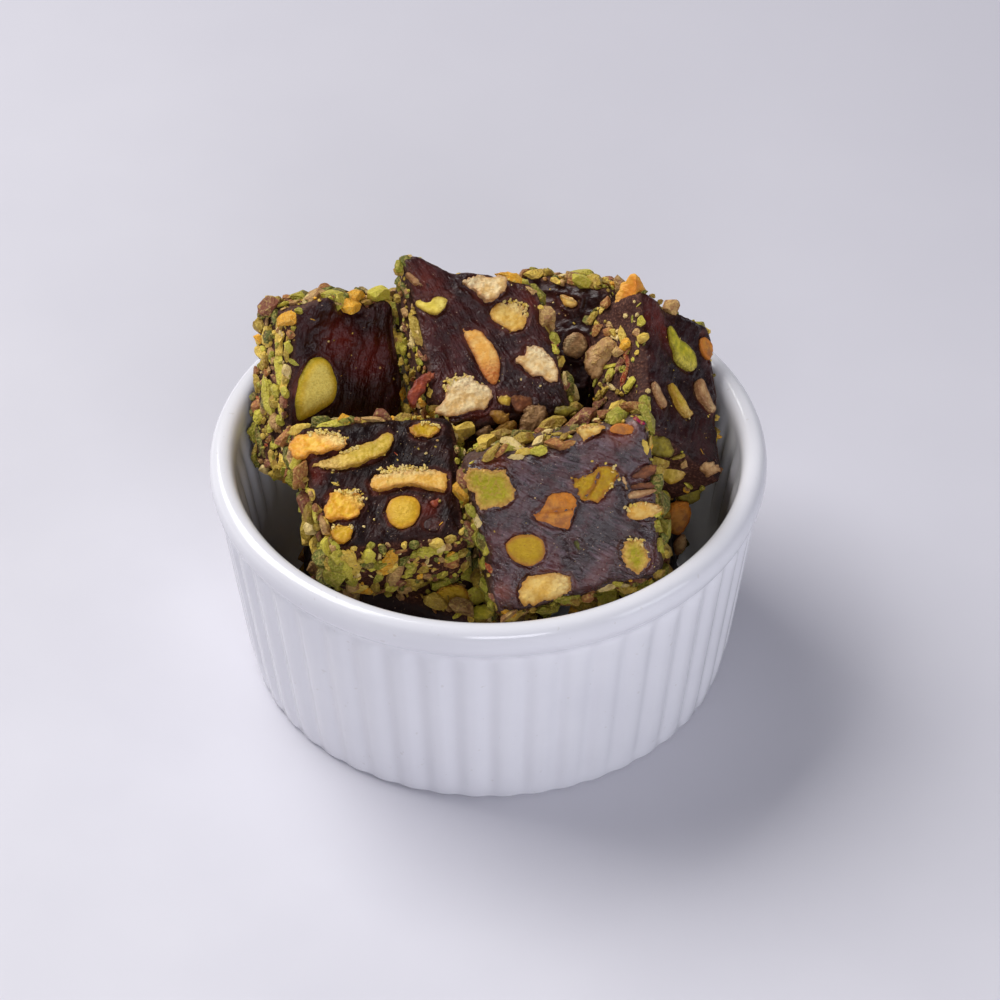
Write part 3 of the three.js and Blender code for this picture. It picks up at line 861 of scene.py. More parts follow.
# nuts in each cut face: outlines in millimetres from its middle, the way its far end lies ("middle" for a
# pale middle), how crumbly it is, how far it bulges, which side stands out, its cracks and its crumb fringe
faceNuts = {
    "slice_front_left": [
        {"kind": "apricot", "far": 50, "crumbly": 0.8, "crown": 0.21, "tilt": (-80, 0.5),
         "fringe": (60, 60, 34),
         "outline": [(-14.7, 7.4), (-13.2, 9.1), (-10.8, 9.6), (-8.1, 9.5), (-5.5, 8.3), (-5.5, 6.5),
                     (-7.3, 5.8), (-10.5, 5.6), (-12.8, 5), (-14.3, 5.5)]},
        {"kind": "leafGold", "far": 200, "crumbly": 0.7, "tilt": (-75, 0.6), "fringe": (120, 55, 22),
         "outline": [(-11.4, 3.7), (-8.2, 5), (-5, 6), (-1.4, 7.4), (1.1, 8.7), (2, 7.5), (1.1, 5.3),
                     (-0.9, 4), (-4.1, 3.2), (-7.3, 2.6), (-9.9, 3)]},
        {"kind": "ivory", "far": 90, "crumbly": 0.7, "crown": 0.21, "tilt": (-90, 0.8),
         "fringe": (95, 62, 56),
         "outline": [(-2.7, -0.1), (-1.2, 1.6), (2, 2.1), (5, 1.8), (8, 1.1), (9.7, 0), (9.5, -2.7),
                     (8.7, -3.1), (6.1, -2.1), (3.5, -1.4), (0, -1.7), (-2.2, -1.9)]},
        {"kind": "gold", "far": "middle", "crumbly": 0.12, "crown": 0.32,
         "outline": [(-0.6, -5.6), (0.6, -3.5), (2.9, -3.1), (4.6, -3.9), (4.8, -6.2), (3.5, -8.3),
                     (1.5, -9), (-0.1, -7.9)]},
        {"kind": "amber", "far": 40, "crumbly": 1.0, "tilt": (-130, 0.5), "fringe": (60, 60, 16),
         "outline": [(-10.3, -6.4), (-9.8, -2.9), (-8.4, -1.3), (-6.1, -1.1), (-3.7, -2.2), (-4, -4.4),
                     (-5.1, -6), (-7.4, -6.5)]},
    ],
    "slice_front_right": [
        {"kind": "pistachio", "far": "middle", "crumbly": 1.0, "rise": 0.75, "crown": 0.07,
         "outline": [(-13.8, 11.2), (-12.3, 11.4), (-10.4, 10.6), (-8.1, 10.1), (-7.5, 8.3), (-7.2, 5.6),
                     (-8.5, 4.5), (-10.7, 4.3), (-13.2, 4.7), (-13.8, 7.3), (-14.4, 9.6)]},
        {"kind": "olive", "far": "middle", "crumbly": 0.15, "crown": 0.1,
         "outline": [(-10.5, -1.6), (-8.7, -0.7), (-6.2, -1), (-4.7, -2.2), (-4.6, -4.1), (-5.6, -5.6),
                     (-7.7, -5.9), (-9.6, -4.7), (-10.5, -3.2)]},
        {"kind": "straw", "far": 0, "crumbly": 1.0, "rise": 0.6, "crown": 0.07,
         "outline": [(-10.2, -9.6), (-9.3, -8), (-7.6, -7.2), (-4.5, -7.7), (-1.8, -8.6), (-1.5, -10.3),
                     (-2.9, -11.6), (-5.6, -11.9), (-8.5, -11.9), (-10.1, -11.3)]},
        {"kind": "rusty", "far": 50, "crumbly": 0.5, "crown": 0.07, "cracks": [((-4.8, 2), (1.6, 1.1))],
         "outline": [(-5.3, 1.9), (-3.6, 2.6), (-2.3, 4.1), (-1, 4.5), (1.4, 3.6), (1.9, 1.8), (0.7, 0.1),
                     (-0.3, -1.5), (-2.5, -0.8), (-4.5, 0.7)]},
        {"kind": "olive", "far": 120, "crumbly": 1.3, "crown": 0.21, "fringe": (-20, 60, 5),
         "cracks": [((3.4, 2.6), (5.4, 4.4)), ((5.4, 4.4), (6.4, 6))],
         "outline": [(1.8, 5.3), (2.9, 6.1), (5.6, 6.2), (6.9, 7.2), (8.9, 6.3), (9.4, 4.9), (8.8, 3.6),
                     (7.4, 3.2), (6.1, 2.1), (4.5, 1.7), (2.6, 2.6), (2, 4)]},
        {"kind": "ivory", "far": 20, "crumbly": 0.7, "crown": 0.21, "fringe": (110, 60, 5),
         "outline": [(9.2, -0.9), (10.3, 0), (12.4, -0.2), (14, -1.1), (15.1, -2.1), (13.6, -2.8),
                     (11.8, -3), (9.3, -2.2)]},
        {"kind": "pistachio", "far": "middle", "crumbly": 1.0, "rise": 0.7, "crown": 0.17,
         "fringe": (60, 60, 8),
         "outline": [(6.8, -6.5), (7.8, -5.4), (9.8, -5.4), (10.9, -7.1), (11.1, -9), (10.5, -10.3),
                     (8.8, -11.2), (7.6, -10.1), (6.8, -8.3)]},
    ],
    "slice_back_left": [
        {"kind": "egg", "far": "middle", "crumbly": 0.05, "crown": 1.05,
         "outline": [(-9.6, -1.6), (-9.2, 0.7), (-8.3, 3.3), (-7, 5), (-5.3, 5.6), (-3.7, 4.9), (-2.6, 2.9),
                     (-2, 0.5), (-2.8, -1.9), (-4.8, -3), (-7, -4.1), (-8.8, -4.7), (-9.4, -3.6)]},
    ],
    "slice_top": [
        {"kind": "cream", "far": 150, "crumbly": 1.1, "rise": 1.1, "tilt": (-60, 0.4),
         "outline": [(-3.6, 11.2), (-2, 11.9), (0.8, 12.1), (3.4, 11.9), (3.9, 11), (3.5, 9.3), (2.5, 8.4),
                     (1, 7.5), (-0.4, 7.9), (-1.8, 9.3), (-3.1, 10.5)]},
        {"kind": "straw", "far": 60, "crumbly": 0.9, "crown": 0.17, "fringe": (60, 60, 18),
         "outline": [(0.9, 6.2), (1.9, 7.5), (4, 8), (5.9, 7.8), (7, 6.6), (7, 4.6), (5.9, 3.1), (4, 2.7),
                     (2.3, 3.7), (1, 5)]},
        {"kind": "honey", "far": -70, "crumbly": 0.25, "crown": 0.28,
         "outline": [(-3.8, 3.6), (-2.4, 3.5), (-0.8, 2.8), (0.6, 0.9), (1.6, -1.3), (1.8, -3.5),
                     (1.4, -5.4), (0.4, -6.4), (-0.7, -5.6), (-1.7, -3.7), (-2.4, -1.5), (-3.3, 0.7),
                     (-3.9, 2.4)]},
        {"kind": "cream", "far": 80, "crumbly": 0.8, "crown": 0.32, "tilt": (-100, 0.3),
         "fringe": (100, 65, 20),
         "outline": [(-7.1, -5.5), (-5.4, -4.8), (-3.6, -4.6), (-2.3, -5.8), (-0.6, -6.6), (-0.1, -8),
                     (-0.6, -9.7), (-1.9, -11), (-3.9, -11.1), (-5.4, -11.6), (-7, -11.9), (-8.6, -11.8),
                     (-9.7, -11.2), (-9.1, -10), (-8, -8.3), (-7.7, -6.7)]},
        {"kind": "cream", "far": 60, "crumbly": 0.6, "crown": 0.17,
         "outline": [(6, -0.2), (7.5, 0.4), (9, -0.3), (10.3, -2), (11.1, -4.2), (10.8, -6.1), (9.4, -6.3),
                     (8.3, -5.3), (6.5, -4.8), (5.3, -3.6), (4, -2.3), (4.5, -1.7), (5.8, -1.5)]},
    ],
    "slice_back": [
        {"kind": "straw", "far": 90, "crumbly": 0.3, "crown": 0.24,
         "outline": [(0.9, 8.2), (2.4, 8.5), (4.1, 8.2), (4.1, 7.2), (3, 6.7), (1.9, 7)]},
    ],
    "slice_back_right": [
        {"kind": "leaf", "far": -80, "crumbly": 0.2, "rise": 0.6, "crown": 0.21,
         "outline": [(-4.7, 8), (-3.7, 8.4), (-2.2, 7.4), (0.4, 7.3), (2.2, 6.6), (3, 4.8), (2.1, 3.1),
                     (0, 2.6), (-2.3, 3), (-2.9, 4.6), (-4, 5.5)]},
        {"kind": "leafGold", "far": -30, "crumbly": 0.3, "rise": 0.8, "crown": 0.21,
         "outline": [(-3.5, -2), (-2.5, -1.7), (-0.9, -2.6), (1, -3.8), (2.8, -4.5), (2, -5.8), (0.3, -5.8),
                     (-1.6, -4.5), (-3, -3.1)]},
        {"kind": "beige", "far": -40, "crumbly": 0.3, "rise": 0.8, "crown": 0.21,
         "outline": [(3.1, 2), (4.3, 2.8), (5.8, 1.2), (7.2, 0), (8.4, -0.9), (7.4, -2.1), (5.6, -1.4),
                     (3.7, -0.2)]},
    ],
}

# smaller nuts fused to the slices: in the cut face like those above, or at a place of their own, where they
# lie facing up and to the front
smallNuts = {
    "slice_front_left": [
        {"kind": "gold", "far": 90, "crumbly": 0.8, "crown": 0.27, "fringe": (90, 70, 6),
         "outline": [(-9.5, -7.8), (-8.3, -7.4), (-6.2, -7.9), (-6.2, -9.5), (-7.9, -10.5), (-9.3, -9.8)]},
        {"kind": "olive", "far": -90, "crumbly": 0.9, "crown": 0.18, "fringe": (60, 60, 8),
         "outline": [(4.7, 9), (5.9, 9.8), (8.2, 9.6), (9.7, 8.5), (9.2, 7.5), (6.7, 6.8), (5.1, 7.6)]},
        {"kind": "red", "crumbly": 0.8, "rise": 0.15,
         "outline": [(6.6, -4.6), (7.8, -4), (8.2, -4.9), (7.2, -5.6)]},
        {"kind": "sunken", "crumbly": 0.3, "rise": 0.05, "crown": 0.05,
         "outline": [(5, -8.2), (6.6, -7.4), (7.8, -8.4), (7, -9.8), (5.4, -9.6)]},
        {"kind": "olive", "at": (-6, -25, 30.3), "crumbly": 0.6, "crown": 0.8, "far": 90,
         "outline": [(-3, 0.2), (-2, 2.1), (0.2, 2.9), (2.4, 2.1), (3.1, -0.1), (2.1, -2.3), (-0.5, -3),
                     (-2.3, -1.9)]},
        {"kind": "leaf", "at": (-1, -27.6, 30.4), "crumbly": 0.6,
         "outline": [(-2, 0.1), (-1, 1.1), (0.9, 1.1), (2, 0.1), (1.2, -1.1), (-1, -1.3)]},
    ],
    "slice_front_right": [
        {"kind": "rusty", "far": 0, "crumbly": 0.4, "rise": 0.1,
         "outline": [(9.5, 12.3), (11.1, 12.8), (13, 11.8), (13, 10.8), (11.4, 10.9), (9.7, 11.5)]},
        {"kind": "straw", "crumbly": 1.2, "crown": 0.32, "far": 90,
         "outline": [(4.6, 13.7), (6.6, 13.9), (8.6, 13.2), (8.6, 12.4), (6.5, 11.8), (4.7, 11.8)]},
        {"kind": "brown", "far": 60, "crumbly": 0.5, "crown": 0.14,
         "outline": [(11.2, 4.1), (12.9, 5.1), (15.4, 5.1), (15, 3.9), (13.2, 3.3)]},
        {"kind": "brown", "far": 90, "crumbly": 0.3, "crown": 0.23,
         "outline": [(10.5, 2.6), (12.1, 3), (14.3, 2.5), (14.3, 1.7), (12.2, 1.9)]},
        {"kind": "beige", "far": 180, "crumbly": 0.2, "crown": 0.23,
         "outline": [(9.8, 1.5), (11.1, 1.9), (14.4, 1.4), (14.1, 0.9), (11.9, 0.6), (10, 0.8)]},
        {"kind": "cream", "crumbly": 1, "crown": 0.36,
         "outline": [(9.4, 4.7), (10, 4.4), (10.4, 2.8), (9.8, 2.3), (9.5, 3.4)]},
        {"kind": "moss", "crumbly": 0.8, "rise": 0.05,
         "outline": [(-0.1, -3.7), (1.1, -3.6), (1.2, -5.1), (0.1, -5.2)]},
    ],
    "slice_top": [
        {"kind": "lemon", "crumbly": 0.25, "crown": 0.27, "tilt": (-60, 0.9),
         "outline": [(-11.5, 7.7), (-10.5, 8.2), (-8.6, 8.5), (-7, 8.5), (-6.1, 7.8), (-7, 6.1),
                     (-8.4, 5.4), (-9.8, 5.9), (-10.8, 6.6)]},
        {"kind": "beige", "crumbly": 0.6,
         "outline": [(-12.6, 12.4), (-11.8, 12.2), (-10.3, 10.5), (-10.4, 10), (-12.1, 10.8)]},
        {"kind": "red", "crumbly": 0.8, "crown": 0.45,
         "outline": [(-14, -8.2), (-12.6, -5.9), (-10.7, -4.5), (-9.3, -4.3), (-9.9, -5.7), (-11.9, -8.3),
                     (-13.2, -10.1)]},
        {"kind": "brown", "far": 100, "crumbly": 0.4, "crown": 0.23,
         "outline": [(3, -8.3), (4.8, -8.1), (6.4, -8.9), (6, -10.3), (4.3, -11.2), (3, -10.3)]},
        {"kind": "leafGold", "crumbly": 0.7, "far": 90,
         "outline": [(0.9, -8.1), (2.1, -7.8), (2.9, -8.6), (2.6, -10), (1.2, -9.7)]},
        {"kind": "beige", "crumbly": 1,
         "outline": [(-6.6, 9.4), (-5.6, 9.6), (-5.4, 8.8), (-6.2, 8.4)]},
        {"kind": "shadeCream", "at": (7.4, -2.3, 48), "far": 120, "crumbly": 0.8, "crown": 0.6, "sunk": 4,
         "outline": [(-2.6, 0.1), (-1.5, 2.2), (0.2, 3.2), (1.4, 2.8), (2.2, 0.8), (2.4, -1.6), (1.2, -2.8),
                     (-0.9, -2.8), (-2.3, -1.9)]},
        {"kind": "shadeGold", "at": (2.5, -2, 45.7), "far": 100, "crumbly": 0.4, "crown": 0.9, "sunk": 4,
         "outline": [(-2.2, -1), (-1.5, 0.7), (-0.1, 1.8), (1.6, 2.1), (2.3, 1.1), (1.6, -0.7), (-0.1, -2),
                     (-1.5, -2)]},
        {"kind": "shadeGold", "at": (1.8, -4.8, 51.6), "far": 60, "crumbly": 0.9, "crown": 0.6,
         "outline": [(-1.5, 1), (-0.5, 1.3), (0.9, 0.6), (1.9, -0.4), (0.9, -1.1), (-0.5, -1.1),
                     (-1.3, -0.2)]},
        {"kind": "shadeCream", "at": (-0.6, -2.6, 46.3), "far": 90, "crumbly": 0.8, "crown": 0.7, "sunk": 4,
         "outline": [(-1.6, -0.1), (-0.4, 1.1), (1, 1.4), (1.3, 0.4), (0.5, -1.3), (-0.7, -1.3)]},
        {"kind": "shadeLeaf", "at": (12.4, -2, 50.2), "crumbly": 0.6, "crown": 0.5, "sunk": 3,
         "outline": [(-2, -0.1), (-1.4, 0.6), (0.3, 0.9), (2, 0.4), (1.8, -0.1), (0.3, -0.7), (-1.1, -1.1)]},
        {"kind": "brown", "at": (11.1, 2.6, 41.3), "crumbly": 0.3, "crown": 1, "sunk": 3,
         "outline": [(-1.1, 0.4), (-0.7, 1.6), (0.3, 1.4), (1.1, 0), (1.2, -1), (0, -1.4), (-0.9, -0.9)]},
    ],
    "slice_back": [
        {"kind": "beige", "far": 160, "crumbly": 0.5, "crown": 0.41,
         "outline": [(3.9, -0.3), (4.2, 2.2), (5.6, 3.2), (7.5, 2.7), (8.1, 0.8), (6.9, -1.1)]},
    ],
    "slice_back_right": [
        {"kind": "beige", "far": 120, "crumbly": 0.3, "crown": 0.18,
         "outline": [(-7.5, -3.9), (-6.4, -3.8), (-5, -5.1), (-3.8, -6), (-4.4, -7.1), (-5.6, -7.3),
                     (-6.8, -5.7)]},
        {"kind": "rusty", "far": 60, "crumbly": 0.3, "crown": 0.18,
         "outline": [(3.4, 10.2), (4.9, 11.1), (6.5, 10.5), (6.7, 8.7), (5.9, 7.2), (4.3, 7.8), (3.6, 8.6)]},
        {"kind": "shadeLeaf", "at": (27.4, -3.6, 44.9), "crumbly": 0.3, "crown": 0.6,
         "outline": [(-1.4, 3.2), (-0.7, 2.4), (-0.2, 1), (0.9, 1), (2, -0.3), (2.4, -1.7), (1.4, -2.5),
                     (-0.4, -2.1), (-1.9, -1.7), (-2.1, 0.7)]},
        {"kind": "leafGold", "at": (29.6, -1.1, 36.9), "crumbly": 0.4, "crown": 0.8,
         "outline": [(-2.4, 1.8), (0, 2), (2.2, 1.4), (2.4, -0.6), (1.1, -2.1), (-1, -2), (-2.4, -0.4)]},
        {"kind": "shadeLeaf", "at": (32.5, 1.1, 29.5), "crumbly": 0.5, "crown": 0.7,
         "outline": [(-1.9, 0.5), (-0.1, 1.9), (2.2, 1.3), (1.8, -0.9), (-0.4, -1.6), (-1.5, -1.2)]},
        {"kind": "beige", "at": (35.6, -1.2, 37.4), "far": 60, "crumbly": 1, "crown": 0.8,
         "outline": [(-1.6, 0.6), (-0.5, 1.4), (1.4, 0.6), (1.9, -0.4), (0, -1.5), (-1.3, -0.7)]},
        {"kind": "pyramid", "at": (23, 18.4, 55.7), "far": 200, "crumbly": 0.7, "crown": 0.5, "sunk": 4,
         "ridge": ((1, 4.8), (0.9, -3.5)),
         "outline": [(1, 4.8), (2.7, 2.4), (2.8, -0.4), (2.2, -4.3), (0.9, -3.5), (-0.6, -2.9),
                     (-1.9, -2.4), (-2.8, -1.3), (-2.5, 0.6), (-1.5, 3.1), (-0.3, 4.2)]},
        {"kind": "beige", "at": (18.5, 11.4, 50.1), "far": 60, "crumbly": 0.7, "crown": 1.4, "sunk": 3,
         "outline": [(-2.7, -0.1), (-2.3, 1.5), (-0.9, 2.4), (1, 2.9), (2.8, 2.7), (3.8, 1.2), (2.5, -0.4),
                     (0.6, -1.3), (-0.3, -3.5), (-1.7, -3.5), (-2.8, -1.9)]},
        {"kind": "rusty", "at": (30.7, -2.7, 28), "far": 90, "crumbly": 0.5, "crown": 0.9,
         "outline": [(-2, -0.3), (-1.3, 2), (0.2, 2.9), (2, 2.3), (2.1, 0), (1.1, -2.3), (-0.5, -2.8),
                     (-1.6, -1.8)]},
        {"kind": "beige", "at": (31.2, -5.4, 24.8), "crumbly": 0.6, "crown": 0.6,
         "outline": [(-1.2, 0.1), (-0.3, 1.4), (0.8, 1.6), (1.1, 0), (0.5, -1.5), (-0.8, -1.7)]},
    ],
}

nutShape = {
    "crumbly": 0.7,
    "steps": 3,          # points between two marks of an outline
    "sunk": 2.4,
    "rise": 0.34,
    "crown": 0.12,
    "jag": 0.16,         # how ragged a crumbly nut's outline is
    # size and share of the crown's height, from the rim inward
    "rings": ((0.95, 0.45), (0.86, 0.3), (0.78, 0.17), (0.6, 0.08)),
    "foot": 0.8,         # size of the sunken end
    "voxel": 0.15,
    "shows": (-1.2, 0),  # heights between which a nut comes out of the jelly
    "turnsTo": (0.05, 0.75),      # shares of the way to the far end where its colour begins and is full
    "paleMiddle": (0.5, 1.9),     # distances inside the outline where a pale middle begins and is full
    "edge": 0.8,         # width of the rim's colour
    # size and height of the broken surface
    "bumps": (1.8, 0.7),
    "plates": (0.9, 0.85),
    "crumbs": (0.42, 0.42),
    "crack": {"width": 0.3, "depth": 0.35, "shade": 0.8},
    "ridge": {"width": 1.3, "height": 2.2},
}


def plateTexture(name, scale):
    texture = bpy.data.textures.new(name, "VORONOI")
    texture.noise_scale = scale
    texture.weight_1, texture.weight_2 = -1, 1
    return texture


def roundOutline(marks, steps):
    count, places = len(marks), []
    for i in range(count):
        before, first, second, after = (Vector(marks[(i + k) % count]) for k in (-1, 0, 1, 2))
        for k in range(steps):
            t = k / steps
            bend = (2 * before - 5 * first + 4 * second - after) * t * t
            twist = (3 * first - before - 3 * second + after) * t ** 3
            places.append(0.5 * (2 * first + (second - before) * t + bend + twist))
    return places


def outlineMiddle(marks):
    return sum((Vector(mark) for mark in marks), Vector((0, 0))) / len(marks)


# upright to facing up and to the front
frontLean = math.pi / 2 - math.radians(cameraSettings["elevation"])


def nutPlace(name, shape, nut):
    # the frame in which a nut's outline is flat
    if "at" in nut:
        return Matrix.Translation(Vector(nut["at"]) * mm) @ Matrix.Rotation(frontLean, 4, "X")
    middle = outlineMiddle(nut["outline"])
    height = faceHeight(shape, *middle)
    height += tugPull(name, np.array([[middle.x, middle.y, height]]))[0][2]
    return slicePlace(shape) @ Matrix.Translation((0, 0, height * mm))


def makeNutCage(name, nut, look):
    marks = roundOutline(nut["outline"], look["steps"])
    middle = outlineMiddle(marks)
    draw, jag = random.Random(name), look["jag"] * nut.get("crumbly", look["crumbly"])
    marks = [mark + Vector((draw.gauss(0, jag), draw.gauss(0, jag))) for mark in marks]
    rise, sunk, crown = (nut.get(key, look[key]) for key in ("rise", "sunk", "crown"))
    bpy.ops.object.select_all(action="DESELECT")
    bpy.ops.mesh.primitive_circle_add(vertices=len(marks), radius=mm, location=(0, 0, 0))
    piece = newPiece(name)
    startEditing(piece)
    cage = bmesh.from_edit_mesh(piece.data)
    cage.verts.ensure_lookup_table()
    for vert, mark in zip(cage.verts, marks):
        vert.co = (mark.x * mm, mark.y * mm, rise * mm)
    bmesh.update_edit_mesh(piece.data)
    centre = (middle.x * mm, middle.y * mm, 0)
    bpy.ops.mesh.select_all(action="SELECT")
    bpy.ops.mesh.extrude_region_move(TRANSFORM_OT_translate={"value": (0, 0, -(sunk + rise) * mm)})
    bpy.ops.transform.resize(value=(look["foot"], look["foot"], 1), center_override=centre)
    bpy.ops.mesh.edge_face_add()
    top = rise * mm
    for share, step in look["rings"]:
        pick(piece, "verts", lambda v: v.co.z > top - 0.001 * mm)
        bpy.ops.mesh.extrude_region_move(TRANSFORM_OT_translate={"value": (0, 0, crown * step * mm)})
        bpy.ops.transform.resize(value=(share, share, 1), center_override=centre)
        top += crown * step * mm
    bpy.ops.mesh.edge_face_add()
    bpy.ops.mesh.select_all(action="SELECT")
    bpy.ops.mesh.normals_make_consistent(inside=False)
    stopEditing()
    return piece, [tuple(mark) for mark in marks], middle


def wayShare(x, y, middle, degrees):
    # from 0 at the middle to 1 at the end that lies this way
    angle = math.radians(degrees)
    along = (x - middle.x) * math.cos(angle) + (y - middle.y) * math.sin(angle)
    return along / max(along.max(), 0.1)


def makeNut(name, matrix, nut, look):
    piece, marks, middle = makeNutCage(name, nut, look)
    applyModifier(piece, "REMESH", mode="VOXEL", voxel_size=look["voxel"] * mm, use_smooth_shade=True)
    applyModifier(piece, "SMOOTH", iterations=2, factor=0.5)
    places = vertexPlaces(piece) / mm
    x, y, height = places.T
    distance = outlineDistance(x, y, marks)
    far = nut.get("far", 0)
    toEnd = far != "middle"
    if toEnd:
        end = smooth(wayShare(x, y, middle, far), *look["turnsTo"])
    else:
        end = smooth(-distance, *look["paleMiddle"])
    cracked = np.zeros(len(places))
    for first, second in nut.get("cracks", []):
        distances = lineDistance(x, y, first, second) / look["crack"]["width"]
        cracked = np.maximum(cracked, np.exp(-distances ** 2))
    showing = smooth(height, *look["shows"])
    if "ridge" in nut:
        distances = lineDistance(x, y, *nut["ridge"]) / look["ridge"]["width"]
        weigh(piece, "ridge", showing * np.exp(-distances))
        applyModifier(piece, "DISPLACE", vertex_group="ridge", direction="Z", space="LOCAL",
                      strength=look["ridge"]["height"] * mm, mid_level=0)
    if "tilt" in nut:
        weigh(piece, "tilt", showing * (0.5 + 0.5 * wayShare(x, y, middle, nut["tilt"][0])))
        applyModifier(piece, "DISPLACE", vertex_group="tilt", direction="Z", space="LOCAL",
                      strength=nut["tilt"][1] * mm, mid_level=0)
    weigh(piece, "cracks", cracked * showing)
    crackDepth = look["crack"]["depth"] * mm
    applyModifier(piece, "DISPLACE", vertex_group="cracks", strength=-crackDepth, mid_level=0)
    crumbly = nut.get("crumbly", look["crumbly"])
    broken = weigh(piece, "broken", (0.4 + 0.6 * end) if toEnd else np.ones(len(places)))
    surface = (
        ("bumps", cloudTexture, 0.35 + 0.65 * crumbly, ""),
        ("plates", plateTexture, crumbly, broken),
        ("crumbs", cloudTexture, crumbly, broken),
    )
    for key, texture, share, group in surface:
        size, strength = look[key]
        applyModifier(piece, "DISPLACE", texture=texture(name + key, size * mm), texture_coords="LOCAL",
                      vertex_group=group, strength=strength * share * mm, mid_level=0.45)
    piece.vertex_groups.clear()
    paint(piece, "nutSpace", places + np.array(nut.get("at", (0, 0, 0))), "FLOAT_VECTOR")
    edge = smooth(distance, -look["edge"], 0.0)
    paint(piece, "nutRim", np.maximum(edge, cracked * look["crack"]["shade"]))
    paint(piece, "nutEnd", end)
    placePiece(piece, matrix, nutMaterials[nut["kind"]])
    return piece


# each slice's own jelly tones; the sheen colour and its share make a painted sheen of reflected lamp light,
# and the glow colour is painted light shining through the thin jelly
jellyTones = {
    "slice_front_left": {
        "deep": tint(24, 9, 9), "warm": tint(44, 17, 14), "glow": tint(84, 24, 14),
        "paintedSheen": tint(76, 56, 52), "paintedSheenShare": 0.22, "shine": 0.2, "rough": 0.34, "relief": 0.9,
    },
    "slice_front_right": {
        "deep": tint(40, 18, 22), "warm": tint(84, 38, 38), "glow": tint(120, 58, 42),
        "paintedSheen": tint(142, 116, 128), "paintedSheenShare": 0.5, "shine": 1.0, "rough": 0.12, "relief": 1.1,
    },
    "slice_back_left": {
        "deep": tint(36, 3, 3), "warm": tint(56, 9, 8), "glow": tint(92, 20, 15),
        "paintedSheen": tint(90, 42, 46), "paintedSheenShare": 0.22, "shine": 0.4, "rough": 0.3, "relief": 0.9,
    },
    "slice_top": {
        "deep": tint(38, 6, 6), "warm": tint(66, 15, 12), "glow": tint(94, 34, 24),
        "paintedSheen": tint(96, 48, 52), "paintedSheenShare": 0.35, "shine": 0.5, "rough": 0.28, "relief": 1.2,
    },
    "slice_back": {
        "deep": tint(40, 11, 10), "warm": tint(66, 26, 21), "glow": tint(100, 50, 36),
        "paintedSheen": tint(104, 68, 60), "paintedSheenShare": 0.35, "shine": 0.42, "rough": 0.34, "relief": 0.4,
    },
    "slice_back_right": {
        "deep": tint(28, 4, 5), "warm": tint(50, 11, 10), "glow": tint(96, 28, 16),
        "paintedSheen": tint(78, 34, 36), "paintedSheenShare": 0.25, "shine": 0.35, "rough": 0.32, "relief": 0.9,
    },
}
# tones for the low slices, with the same painted sheen and painted glow
lowTones = {
    "deep": tint(34, 12, 12), "warm": tint(52, 24, 20), "glow": tint(90, 40, 24),
    "paintedSheen": tint(70, 44, 42), "paintedSheenShare": 0.3, "shine": 0.4, "rough": 0.35, "relief": 0.35,
}
lowJelly = makeJellyMaterial("lowJelly", lowTones)

for name, shape in sliceShapes.items():
    nuts = faceNuts.get(name, [])
    inFace = nuts + [nut for nut in smallNuts.get(name, []) if "at" not in nut]
    material = makeJellyMaterial(name + "_flesh", jellyTones[name]) if name in jellyTones else lowJelly
    makeJellySlice(name, shape, material, inFace)
    for number, nut in enumerate(nuts, 1):
        kernel = "{}_kernel_{}".format(name, number)
        piece = makeNut(kernel + "_flesh", nutPlace(name, shape, nut), nut, nutShape)
        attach(piece, "root")
        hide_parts(kernel)
    if name in smallNuts:
        small = [makeNut("small" + str(k), nutPlace(name, shape, nut), nut, nutShape)
                 for k, nut in enumerate(smallNuts[name])]
        piece = joinPieces(name + "_small_nuts", small)
        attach(piece, "root")
    print(name, "is made")


# broken nut bits, each modelled once in a box of 1 by 1 by 1 and copied at true size
chipShapes = {
    "shard": {"count": 8, "rough": 0.03, "cuts": 6, "detail": 3, "wide": (0.5, 0.8), "thick": (0.32, 0.5)},
    "chunk": {"count": 9, "rough": 0.1, "cuts": 6, "detail": 1, "wide": (0.6, 0.9), "thick": (0.45, 0.75)},
    "flake": {"count": 8, "rough": 0.09, "cuts": 5, "detail": 1, "wide": (0.5, 0.85), "thick": (0.26, 0.4)},
    "sliver": {"count": 7, "rough": 0.09, "cuts": 4, "detail": 1, "wide": (0.22, 0.38),
               "thick": (0.16, 0.28)},
    "crumb": {"count": 6, "rough": 0.14, "cuts": 2, "detail": 1, "wide": (0.6, 1.0), "thick": (0.5, 0.9)},
}
chipLook = {
    "radius": 0.56,
    "cutAt": (0.24, 0.42),
    "voxel": 0.078,
    # size and height of the broken surface of a large bit
    "lumps": (0.3, 0.2),
    "bites": (0.2, 0.1),
}


def makeChip(name, seed, look):
    draw = random.Random(seed)
    bpy.ops.object.select_all(action="DESELECT")
    bpy.ops.mesh.primitive_ico_sphere_add(subdivisions=look["detail"], radius=chipLook["radius"])
    chip = newPiece(name)
    startEditing(chip)
    bpy.ops.mesh.select_all(action="SELECT")
    bpy.ops.transform.vertex_random(offset=look["rough"], seed=seed)
    for cut in range(look["cuts"]):
        away = Vector((draw.gauss(0, 1), draw.gauss(0, 1), draw.gauss(0, 1))).normalized()
        bpy.ops.mesh.select_all(action="SELECT")
        middle = away * draw.uniform(*chipLook["cutAt"])
        bpy.ops.mesh.bisect(plane_co=middle, plane_no=away, use_fill=True, clear_outer=True)
    bpy.ops.mesh.select_all(action="SELECT")
    bpy.ops.mesh.quads_convert_to_tris()
    bpy.ops.mesh.normals_make_consistent(inside=False)
    stopEditing()
    if look["detail"] == 3:
        applyModifier(chip, "REMESH", mode="VOXEL", voxel_size=chipLook["voxel"], use_smooth_shade=True)
        for key, texture, level in (("lumps", cloudTexture, 0.5), ("bites", plateTexture, 0.4)):
            size, strength = chipLook[key]
            applyModifier(chip, "DISPLACE", texture=texture(name + key, size), texture_coords="LOCAL",
                          strength=strength, mid_level=level)
        applyModifier(chip, "TRIANGULATE")
    return chip


